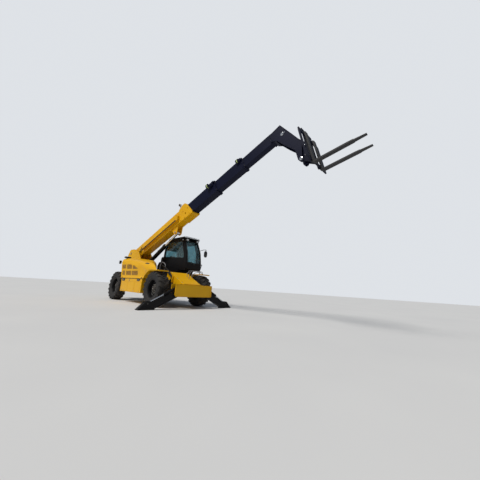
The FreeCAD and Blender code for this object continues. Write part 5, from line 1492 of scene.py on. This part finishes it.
# panel lines of the cab's lower right side and a vent
add_ring_tube(bm, rounded([(1.44, 1.10, 0.04), (2.56, 1.10, 0.06), (2.70, 1.41, 0.05), (3.19, 1.43, 0.04), (3.215, 1.66, 0.06), (3.08, 1.80, 0.05), (1.42, 1.88, 0.05)], 5), at(0, 0.2985, 0), XX, ZZ, YY, 0.012, 0.005)
for k in range(7):
    add_box(bm, (1.60 + 0.0 * k, 0.2955, 1.36 + k * 0.030), (1.90, 0.3005, 1.372 + k * 0.030), (XX, YY, ZZ), at(0, 0, 0))
for x, z in ((1.50, 1.16), (2.50, 1.16), (1.50, 1.82), (3.02, 1.74)):
    add_bolt(bm, at(x, 0.300, z), -YY, 0.020, 0.008)
piece("cab_side_panel", bm, BLACK, "chassis", 30)
bm = bmesh.new()
# roof: raised ribs, gutter rail and an inner ring
for k in range(4):
    y = 0.36 + k * 0.0
for x in (1.68, 1.74, 1.80):
    add_prism(bm, rounded([(-0.012, 0.0, 0), (0.012, 0.0, 0), (0.009, 0.008, 0.003), (-0.009, 0.008, 0.003)], 2), at(x, 0.69, 2.828), XX, ZZ, YY, 0.62)
for x in (2.72, 2.80, 2.88):
    add_prism(bm, rounded([(-0.012, 0.0, 0), (0.012, 0.0, 0), (0.009, 0.008, 0.003), (-0.009, 0.008, 0.003)], 2), at(x, 0.69, 2.828), XX, ZZ, YY, 0.62)
ring = rounded([(1.625, 0.305, 0.05), (2.975, 0.305, 0.05), (2.975, 1.075, 0.05), (1.625, 1.075, 0.05)], 6)
add_ring_tube(bm, ring, at(0, 0, 2.8285), XX, YY, ZZ, 0.014, 0.008)
add_ring_tube(bm, rounded([(1.885, 0.385, 0.03), (2.655, 0.385, 0.03), (2.655, 0.995, 0.03), (1.885, 0.995, 0.03)], 6), at(0, 0, 2.829), XX, YY, ZZ, 0.030, 0.010)
piece("roof_trim", bm, BLACK, "chassis", 30)
bm = bmesh.new()
for k in range(6):
    y = 0.45 + k * 0.096
    add_cyl(bm, at(1.900, y, 2.800), at(2.640, y, 2.800), 0.010, 12)
add_cyl(bm, at(2.27, 0.40, 2.800), at(2.27, 0.98, 2.800), 0.010, 12)
piece("roof_guard_bars", bm, BLACK, "chassis", 30)
bm = bmesh.new()
for y0, y1 in ((0.362, 0.468), (0.912, 1.018)):
    add_prism(bm, rounded([(y0, 2.655, 0.012), (y1, 2.655, 0.012), (y1, 2.730, 0.012), (y0, 2.730, 0.012)], 4), at(2.987, 0, 0), YY, ZZ, XX, 0.006)
piece("work_lamp_lenses", bm, LENS, "chassis", 30)
# a small lamp under the roof's edge on the right
bm = bmesh.new()
add_prism(bm, rounded([(-0.040, -0.028, 0.008), (0.040, -0.028, 0.008), (0.040, 0.028, 0.008), (-0.040, 0.028, 0.008)], 3), at(2.800, 0.318, 2.690), XX, ZZ, YY, 0.050)
add_box(bm, (2.792, 0.31, 2.715), (2.808, 0.33, 2.755), (XX, YY, ZZ), at(0, 0, 0))
piece("roof_side_lamp", bm, TRIM, "chassis", 30, bevel=0.003)
bm = bmesh.new()
add_prism(bm, rounded([(-0.033, -0.022, 0.008), (0.033, -0.022, 0.008), (0.033, 0.022, 0.008), (-0.033, 0.022, 0.008)], 3), at(2.800, 0.2915, 2.690), XX, ZZ, YY, 0.004)
piece("roof_side_lens", bm, LENS, "chassis", 30)

# mirror: an oval shell with its face to the rear, on the bent arm
bm = bmesh.new()
rings = []
for dx, k in ((0.000, 0.93), (0.006, 0.99), (0.020, 1.0), (0.038, 0.90), (0.046, 0.70)):
    ring = []
    for i in range(32):
        t = 2 * math.pi * i / 32
        cy, sz = math.cos(t), math.sin(t)
        ring.append(at(3.402 + dx, 1.1475 + 0.0865 * k * math.copysign(abs(cy) ** 0.7, cy), 2.130 + 0.139 * k * math.copysign(abs(sz) ** 0.7, sz)))
    rings.append(ring)
add_loft(bm, rings)
add_lathe(bm, [(0, 0), (0, 0.016), (0.05, 0.016), (0.05, 0)], at(3.425, 1.147, 2.262), ZZ, 16)
add_tube(bm, bent([at(3.010, 1.098, 2.250), at(3.06, 1.118, 2.305), at(3.25, 1.140, 2.335), at(3.425, 1.147, 2.330), at(3.425, 1.147, 2.270)], 0.03), 0.011, 12)
add_prism(bm, rounded([(2.986, 2.226, 0.01), (3.034, 2.226, 0.01), (3.034, 2.274, 0.01), (2.986, 2.274, 0.01)], 3), at(0, 1.0965, 0), XX, ZZ, YY, 0.030)
mirror_body = "cab_door" if "mirror" in frame["record"]["behaviour"]["bodies"]["cab_door"] else "chassis"
piece("mirror_shell", bm, TRIM, mirror_body, 40, replaces=("mirror",))
bm = bmesh.new()
ring = []
for i in range(32):
    t = 2 * math.pi * i / 32
    cy, sz = math.cos(t), math.sin(t)
    ring.append(bm.verts.new(at(3.4010, 1.1475 + 0.0765 * math.copysign(abs(cy) ** 0.7, cy), 2.130 + 0.128 * math.copysign(abs(sz) ** 0.7, sz))))
bm.faces.new(ring)
piece("mirror_face", bm, MIRROR, mirror_body, 40)

# door: handle, hinges, lower panel lines, latch
bm = bmesh.new()
for z in (1.40, 2.35):
    add_cyl(bm, at(1.705, 1.085, z - 0.045), at(1.705, 1.085, z + 0.045), 0.013, 18, lip=0.002)
    add_box(bm, (1.712, 1.0800, z - 0.030), (1.80, 1.0875, z + 0.030), (XX, YY, ZZ), at(0, 0, 0))
    for x in (1.745, 1.782):
        add_bolt(bm, at(x, 1.0875, z), YY, 0.014, 0.006, washer=False)
add_prism(bm, rounded([(2.700, 1.500, 0.015), (2.880, 1.500, 0.015), (2.880, 1.575, 0.015), (2.700, 1.575, 0.015)], 4), at(0, 1.0825, 0), XX, ZZ, YY, 0.006)
add_tube(bm, bent([at(2.720, 1.084, 1.555), at(2.720, 1.108, 1.555), at(2.860, 1.108, 1.555), at(2.860, 1.084, 1.555)], 0.012), 0.008, 12)
add_cyl(bm, at(2.80, 1.084, 1.520), at(2.80, 1.092, 1.520), 0.011, 18, lip=0.002)
piece("door_fittings", bm, TRIM, "cab_door", 30)
bm = bmesh.new()
add_ring_tube(bm, rounded([(1.770, 1.180, 0.04), (2.520, 1.180, 0.05), (2.650, 1.500, 0.04), (2.640, 1.560, 0.02), (1.770, 1.560, 0.04)], 5), at(0, 1.0815, 0), XX, ZZ, YY, 0.012, 0.005)
piece("door_panel", bm, BLACK, "cab_door", 30)
# grab bar at the door's front, and treads on the step box
bm = bmesh.new()
add_tube(bm, bent([at(3.045, 1.079, 1.52), at(3.060, 1.125, 1.54), at(3.055, 1.130, 1.80), at(2.990, 1.125, 2.10), at(2.975, 1.079, 2.12)], 0.03), 0.011, 14)
piece("cab_grab_bar", bm, RAIL, "chassis", 30)
bm = bmesh.new()
for z, y1 in ((0.600, 1.155), (0.860, 1.125)):
    for i in range(14):
        x = 1.625 + i * 0.050
        add_prism(bm, rounded([(-0.014, 0, 0), (0.014, 0, 0), (0.010, 0.006, 0.002), (-0.010, 0.006, 0.002)], 2), at(x, (1.056 + y1) / 2, z), XX, ZZ, YY, y1 - 1.056 - 0.01)
piece("step_treads", bm, GREY, "chassis", 30)
bm = bmesh.new()
# step box: lid seams; hydraulic tank: filler cap, sight glass frame, bolts
add_ring_tube(bm, rounded([(1.345, 0.485, 0.02), (1.570, 0.485, 0.02), (1.570, 0.905, 0.02), (1.345, 0.905, 0.02)], 4), at(0, 1.0605, 0), XX, ZZ, YY, 0.008, 0.004)
add_ring_tube(bm, rounded([(2.330, 0.485, 0.02), (2.525, 0.485, 0.02), (2.525, 0.905, 0.02), (2.330, 0.905, 0.02)], 4), at(0, 1.0605, 0), XX, ZZ, YY, 0.008, 0.004)
piece("step_box_lines", bm, GREY, "chassis", 30)
bm = bmesh.new()
add_lathe(bm, [(0, 0), (0, 0.060), (0.018, 0.060), (0.022, 0.050), (0.050, 0.050), (0.056, 0.044), (0.056, 0)], at(1.05, 0.72, 1.7795), ZZ, 32)
for i in range(12):
    t = 2 * math.pi * i / 12
    add_cyl(bm, at(1.05 + 0.050 * math.cos(t), 0.72 + 0.050 * math.sin(t), 1.802), at(1.05 + 0.050 * math.cos(t), 0.72 + 0.050 * math.sin(t), 1.832), 0.005, 6)
piece("tank_filler_cap", bm, TRIM, "chassis", 30)
bm = bmesh.new()
add_prism(bm, rounded([(0.860, 1.30, 0.02), (0.900, 1.30, 0.02), (0.900, 1.56, 0.02), (0.860, 1.56, 0.02)], 4), at(0, 1.0885, 0), XX, ZZ, YY, 0.009)
for z in (1.285, 1.575):
    add_bolt(bm, at(0.880, 1.085, z), YY, 0.018, 0.008)
for x, z in ((0.80, 1.0), (1.24, 1.0), (1.24, 1.70), (0.86, 1.70)):
    add_bolt(bm, at(x, 1.085, z), YY, 0.020, 0.009)
piece("tank_left_fittings", bm, ZINC, "chassis", 30)

# black intake body between the tank and the cab's rear, as the photograph shows it dark there
bm = bmesh.new()
add_prism(bm, rounded([(0.930, 1.7795), (1.290, 1.7795), (1.290, 1.96, 0.06), (1.02, 2.03, 0.07), (0.930, 1.96, 0.06)], 5), at(0, 0.50, 0), XX, ZZ, YY, 0.16)
for k in range(6):
    add_box(bm, (0.985, 0.4185 - 0.004, 1.815 + k * 0.026), (1.235, 0.4215, 1.827 + k * 0.026), (XX, YY, ZZ), at(0, 0, 0))
piece("intake_box", bm, TRIM, "chassis", 30, bevel=0.004)

# ------------------------------------------------------------------ inside the cab
def cushion(name, outline, origin, ua, ub, un, depth, crown, cap, body="chassis", pressure=4.0):
    """A stuffed pad: a form puffed by cloth pressure, each point's move held within cap."""
    bm = bmesh.new()
    add_prism(bm, outline, origin, ua, ub, un, depth)
    bmesh.ops.recalc_face_normals(bm, faces=bm.faces[:])
    me = bpy.data.meshes.new(name)
    bm.to_mesh(me)
    bm.free()
    o = scratch_object(name + "_base", me)
    r = o.modifiers.new("remesh", "REMESH")
    r.mode, r.voxel_size = "VOXEL", 0.0062
    me2 = applied(o)
    drop(o)
    o = scratch_object(name + "_cloth", me2)
    start = [v.co.copy() for v in me2.vertices]
    c = o.modifiers.new("cloth", "CLOTH")
    c.settings.use_pressure = True
    c.settings.uniform_pressure_force = pressure
    c.settings.effector_weights.gravity = 0
    c.settings.quality = 4
    c.settings.tension_stiffness = c.settings.compression_stiffness = 22
    c.settings.bending_stiffness = 1.2
    sc_ = bpy.context.scene
    for f in range(1, 21):
        sc_.frame_set(f)
    me3 = applied(o)
    sc_.frame_set(1)
    drop(o)
    for v, s in zip(me3.vertices, start):
        m_ = v.co - s
        if m_.length > cap:
            v.co = s + m_.normalized() * cap
    return me3


def cushion_piece(name, me, replaces=()):
    o = from_mesh(name, me, CLOTH, "chassis", 80, replaces=replaces, subsurf=1)
    s = o.modifiers.new("soft", "SMOOTH")
    s.factor, s.iterations = 0.5, 4
    return o


TILT = math.radians(-9)
# seat pan and back, each with a sunk middle panel between two bolsters
pan = cushion("seat_pan_pad", rounded([(1.612, 0.468, 0.06), (2.112, 0.474, 0.09), (2.112, 0.906, 0.09), (1.612, 0.912, 0.06)], 5), at(0, 0, 1.478), XX, YY, ZZ, 0.070, 0.02, 0.016)
for v in pan.vertices:
    x, y, z = v.co.x + SX, v.co.y - 0.690, v.co.z
    if z > 1.478:
        side_ = step((abs(y) - 0.115) / 0.05)
        v.co.z += 0.014 * side_ - 0.006 * (1 - side_)
        for g in (1.74, 1.86, 1.98):
            v.co.z -= 0.007 * (1 - side_) * math.exp(-((x - g) / 0.010) ** 2)
        v.co.z -= 0.008 * math.exp(-((abs(y) - 0.128) / 0.009) ** 2)
        v.co.z -= 0.010 * step((x - 2.06) / 0.06)
cushion_piece("seat_cushion", pan, ("driver_seat",))
UB = Vector((-0.190, 0, 0.982)).normalized()
UN = Vector((0.982, 0, 0.190)).normalized()
O_B = at(1.600, 0.690, 1.560)
back = cushion("seat_back_pad", rounded([(-0.205, 0.0, 0.05), (0.205, 0.0, 0.05), (0.195, 0.42, 0.09), (0.13, 0.525, 0.09), (-0.13, 0.525, 0.09), (-0.195, 0.42, 0.09)], 5), O_B, YY, UB, UN, 0.070, 0.02, 0.014)
for v in back.vertices:
    p = v.co - O_B
    y, h, n_ = p.y, p.dot(UB), p.dot(UN)
    if n_ > 0:
        side_ = step((abs(y) - 0.105) / 0.05)
        off = 0.012 * side_ - 0.006 * (1 - side_)
        for g in (0.13, 0.25, 0.37):
            off -= 0.007 * (1 - side_) * math.exp(-((h - g) / 0.010) ** 2)
        off -= 0.008 * math.exp(-((abs(y) - 0.118) / 0.009) ** 2)
        v.co += UN * off
cushion_piece("seat_backrest", back)
bm = bmesh.new()
# seat shell, slides, bellows base and arm rests
add_prism(bm, rounded([(1.60, 1.408, 0.02), (2.09, 1.408, 0.02), (2.10, 1.436, 0.01), (1.60, 1.436, 0.01)], 3), at(0, 0.69, 0), XX, ZZ, YY, 0.42)
add_prism(bm, rounded([(-0.19, -0.02, 0.03), (0.19, -0.02, 0.03), (0.18, 0.42, 0.08), (0.11, 0.50, 0.08), (-0.11, 0.50, 0.08), (-0.18, 0.42, 0.08)], 5), O_B - UN * 0.052, YY, UB, UN, 0.014)
for k in range(7):
    z = 1.115 + k * 0.040
    w = 0.145 if k % 2 else 0.128
    add_prism(bm, rounded([(1.850 - w - 0.03, 0.690 - w, 0.03), (1.850 + w + 0.03, 0.690 - w, 0.03), (1.850 + w + 0.03, 0.690 + w, 0.03), (1.850 - w - 0.03, 0.690 + w, 0.03)], 3), at(0, 0, z), XX, YY, ZZ, 0.036)
add_prism(bm, rounded([(1.66, 0.545, 0.02), (2.04, 0.545, 0.02), (2.04, 0.835, 0.02), (1.66, 0.835, 0.02)], 3), at(0, 0, 1.0965), XX, YY, ZZ, 0.012)
for s in (-1, 1):
    add_prism(bm, rounded([(1.64, 1.700, 0.02), (1.93, 1.720, 0.03), (1.93, 1.765, 0.02), (1.64, 1.750, 0.02)], 4), at(0, 0.69 + s * 0.212, 0), XX, ZZ, YY, 0.038)
    add_tube(bm, bent([at(1.62, 0.69 + s * 0.205, 1.60), at(1.66, 0.69 + s * 0.212, 1.71)], 0.02), 0.011, 10)
piece("seat_frame", bm, TRIM, "chassis", 30, bevel=0.003)

bm = bmesh.new()
# wheel rim with grip ribs, spokes and boss
c = at(2.540, 0.690, 1.925)
ax = Vector((-math.sin(math.radians(23)), 0, math.cos(math.radians(23))))
_, u, v_ = frame_of(ax)
rings = []
for i in range(64):
    t = 2 * math.pi * i / 64
    dd = u * math.cos(t) + v_ * math.sin(t)
    rr = 0.0125 + 0.0008 * math.cos(t * 24)
    rings.append([c + dd * (0.190 + rr * math.cos(k * math.pi / 5)) + ax * rr * math.sin(k * math.pi / 5) for k in range(10)])
add_loft(bm, rings, close_path=True, cap=False)
for k in range(3):
    t = math.radians(90 + 120 * k)
    dd = u * math.cos(t) + v_ * math.sin(t)
    add_tube(bm, [c - ax * 0.020 + dd * 0.025, c - ax * 0.012 + dd * 0.10, c + dd * 0.184], [0.016, 0.010, 0.009], 10)
add_lathe(bm, [(-0.045, 0), (-0.045, 0.030), (-0.020, 0.042), (-0.006, 0.042), (0.002, 0.034), (0.002, 0)], c, ax, 32)
t = math.radians(210)
k_at = c + (u * math.cos(t) + v_ * math.sin(t)) * 0.190
add_lathe(bm, [(0.010, 0), (0.010, 0.007), (0.024, 0.007), (0.030, 0.018), (0.044, 0.021), (0.054, 0.014), (0.056, 0)], k_at, ax, 20)
has_wheel = [k for k in N if "steering" in k or "column" in k]
piece("steering_wheel_shape", bm, TRIM2, "chassis", 40, replaces=("steering_wheel",))
bm = bmesh.new()
# dash hood over the column, levers and pedals
add_prism(bm, rounded([(2.70, 1.60, 0.03), (2.92, 1.60, 0.03), (2.95, 1.745, 0.05), (2.78, 1.790, 0.05)], 5), at(0, 0.69, 0), XX, ZZ, YY, 0.34)
add_tube(bm, [at(2.600, 0.690, 1.820), at(2.590, 0.800, 1.850), at(2.585, 0.885, 1.865)], [0.007, 0.007, 0.012], 10)
add_tube(bm, [at(2.605, 0.690, 1.810), at(2.595, 0.590, 1.835), at(2.590, 0.505, 1.850)], [0.007, 0.007, 0.012], 10)
for y in (0.60, 0.78):
    add_prism(bm, rounded([(-0.035, -0.05, 0.01), (0.035, -0.05, 0.01), (0.035, 0.05, 0.01), (-0.035, 0.05, 0.01)], 3), at(2.62, y, 1.235), YY, (ZZ * 0.82 + XX * 0.57), (XX * 0.82 - ZZ * 0.57), 0.010)
    add_tube(bm, [at(2.625, y, 1.22), at(2.68, y, 1.14)], 0.008, 8)
# joystick box right of the seat
add_prism(bm, rounded([(1.70, 1.10, 0.02), (2.22, 1.10, 0.03), (2.24, 1.60, 0.05), (2.00, 1.66, 0.05), (1.70, 1.62, 0.04)], 5), at(0, 0.395, 0), XX, ZZ, YY, 0.085)
add_lathe(bm, [(0, 0), (0, 0.032), (0.012, 0.028), (0.020, 0.022), (0.028, 0.024), (0.036, 0.017), (0.044, 0.019), (0.052, 0.011), (0.105, 0.009), (0.110, 0.019), (0.150, 0.022), (0.178, 0.017), (0.186, 0)], at(2.10, 0.395, 1.632), (0.12, 0, 1), 20)
for k in range(3):
    add_lathe(bm, [(0, 0), (0, 0.008), (0.045, 0.007), (0.048, 0.012), (0.066, 0.012), (0.070, 0)], at(1.80 + 0.07 * k, 0.395, 1.625), ZZ, 12)
piece("cab_controls", bm, TRIM2, "chassis", 30, bevel=0.002)
bm = bmesh.new()
for k, (y, r) in enumerate(((0.60, 0.036), (0.69, 0.044), (0.78, 0.036))):
    dirn = Vector((-0.88, 0, 0.47)).normalized()
    add_lathe(bm, [(0, 0), (0, r), (0.006, r), (0.008, r - 0.004), (0.004, r - 0.006), (0.004, 0)], at(2.742, y, 1.700), dirn, 32)
piece("dash_dials", bm, TRIM, "chassis", 30)
bm = bmesh.new()
for k, (y, r) in enumerate(((0.60, 0.029), (0.69, 0.037), (0.78, 0.029))):
    dirn = Vector((-0.88, 0, 0.47)).normalized()
    _, u, v_ = frame_of(dirn)
    c = at(2.742, y, 1.700) + dirn * 0.0046
    for i in range(9):
        t = math.radians(-30 + 30 * i)
        dd = u * math.cos(t) + v_ * math.sin(t)
        add_tube(bm, [c + dd * r * 0.78, c + dd * r * 0.96], 0.0009, 5)
    t = math.radians(200)
    add_tube(bm, [c - (u * math.cos(t) + v_ * math.sin(t)) * 0.004, c + (u * math.cos(t) + v_ * math.sin(t)) * r * 0.7], 0.0011, 5)
piece("dial_marks", bm, LENS, "chassis", 30)
bm = bmesh.new()
# rubber floor mat with ribs
add_prism(bm, rounded([(1.46, 0.37, 0.04), (2.52, 0.37, 0.04), (2.52, 1.01, 0.04), (1.46, 1.01, 0.04)], 5), at(0, 0, 1.0935), XX, YY, ZZ, 0.006)
for i in range(16):
    x = 2.10 + i * 0.026
    add_prism(bm, [(-0.005, 0), (0.005, 0), (0.003, 0.004), (-0.003, 0.004)], at(x, 0.69, 1.0965), XX, ZZ, YY, 0.60)
piece("cab_floor_mat", bm, SEAL, "chassis", 30)
bm = bmesh.new()
# headlining panel under the roof, behind the roof window
add_prism(bm, rounded([(1.66, 0.36, 0.05), (1.86, 0.36, 0.03), (1.86, 1.02, 0.03), (1.66, 1.02, 0.05)], 4), at(0, 0, 2.700), XX, YY, ZZ, 0.014)
piece("cab_headliner", bm, TRIM2, "chassis", 30, bevel=0.003)

# ------------------------------------------------------------------ axles and underside
bm = bmesh.new()
for x, s in ((WB, -1), (0.0, 1)):
    # diff cover, bolts and drain plug
    add_lathe(bm, [(0, 0.0), (0, 0.120), (0.020, 0.120), (0.026, 0.112), (0.060, 0.085), (0.070, 0.06), (0.070, 0)], at(x + 0.170 * -s, 0, 0.58), XX * -s, 32)
    for i in range(10):
        t = 2 * math.pi * i / 10
        add_bolt(bm, at(x - s * 0.190, 0.103 * math.cos(t), 0.58 + 0.103 * math.sin(t)), XX * -s, 0.016, 0.009, washer=False)
    add_bolt(bm, at(x, 0, 0.392), -ZZ, 0.030, 0.012)
piece("axle_covers", bm, GREY, "chassis", 30)
bm = bmesh.new()
# valve block and hoses in the open chassis between hood and cab
add_prism(bm, rounded([(2.15, -0.20, 0.01), (2.60, -0.20, 0.01), (2.60, 0.05, 0.01), (2.15, 0.05, 0.01)], 3), at(0, 0, 0.86), XX, YY, ZZ, 0.14)
for k in range(5):
    add_lathe(bm, [(0, 0), (0, 0.022), (0.05, 0.022), (0.055, 0.015), (0.075, 0.015), (0.075, 0)], at(2.20 + 0.085 * k, -0.075, 0.929), ZZ, 16)
for k in range(5):
    add_bolt(bm, at(2.20 + 0.085 * k, -0.165, 0.930), ZZ, 0.020, 0.012)
    add_bolt(bm, at(2.20 + 0.085 * k, 0.015, 0.930), ZZ, 0.020, 0.012)
piece("valve_block", bm, IRON, "chassis", 30, bevel=0.002)
for k in range(4):
    x = 2.20 + 0.085 * k
    hose("valve_hose_%d" % k, [at(x, -0.165, 0.945), at(x, -0.170, 1.02), at(x + 0.06, -0.24, 1.08), at(x + 0.20, -0.33, 1.08), at(x + 0.30 - 0.04 * k, -0.36, 1.12), at(2.60 + 0.012 * k, -0.405 - 0.012 * k, 1.255)], 0.0105, "chassis")


# ------------------------------------------------------------------ floor, light
def set_stage():
    me = bpy.data.meshes.new("floor")
    bm = bmesh.new()
    bmesh.ops.create_grid(bm, x_segments=1, y_segments=1, size=90)
    bm.to_mesh(me)
    bm.free()
    n = Nodes("floor_pale")
    n.set(Base_Color=n.mix(n.ramp(n.noise(0.4, 4, 0.5), 0.3, 0.7), (0.60, 0.60, 0.605), (0.63, 0.63, 0.63)), Roughness=0.75)
    n.bump([(n.noise(30, 4, 0.6), 0.03, 0.004)])
    me.materials.append(n.mat)
    fl = bpy.data.objects.new("floor", me)
    bpy.context.scene.collection.objects.link(fl)
    fl.location.z = -0.001
    w = bpy.data.worlds.new("world")
    bpy.context.scene.world = w
    w.use_nodes = True
    nt = w.node_tree
    bg = nt.nodes["Background"]
    bg.inputs["Strength"].default_value = 0.36
    co = nt.nodes.new("ShaderNodeTexCoord")
    sep = nt.nodes.new("ShaderNodeSeparateXYZ")
    mp = nt.nodes.new("ShaderNodeMapRange")
    mp.inputs["From Min"].default_value = -0.02
    mp.inputs["From Max"].default_value = 0.5
    mx = nt.nodes.new("ShaderNodeMix")
    mx.data_type = "RGBA"
    mx.inputs[6].default_value = (0.80, 0.82, 0.85, 1)
    mx.inputs[7].default_value = (0.62, 0.70, 0.82, 1)
    nt.links.new(co.outputs["Generated"], sep.inputs[0])
    nt.links.new(sep.outputs[2], mp.inputs["Value"])
    nt.links.new(mp.outputs[0], mx.inputs[0])
    nt.links.new(mx.outputs[2], bg.inputs["Color"])
    seen = nt.nodes.new("ShaderNodeBackground")
    seen.inputs["Color"].default_value = (0.80, 0.83, 0.87, 1)
    seen.inputs["Strength"].default_value = 0.92
    lp = nt.nodes.new("ShaderNodeLightPath")
    both = nt.nodes.new("ShaderNodeMixShader")
    nt.links.new(lp.outputs["Is Camera Ray"], both.inputs[0])
    nt.links.new(bg.outputs[0], both.inputs[1])
    nt.links.new(seen.outputs[0], both.inputs[2])
    nt.links.new(both.outputs[0], nt.nodes["World Output"].inputs[0])
    key = bpy.data.objects.new("key", bpy.data.lights.new("key", "SUN"))
    key.data.energy = 3.0
    key.data.angle = math.radians(22)
    key.data.color = (1.0, 0.965, 0.90)
    bpy.context.scene.collection.objects.link(key)
    d = Vector((0.10, 0.56, -0.80))
    key.rotation_euler = d.to_track_quat("-Z", "Y").to_euler()


set_stage()
bpy.context.scene.view_settings.view_transform = "Standard"
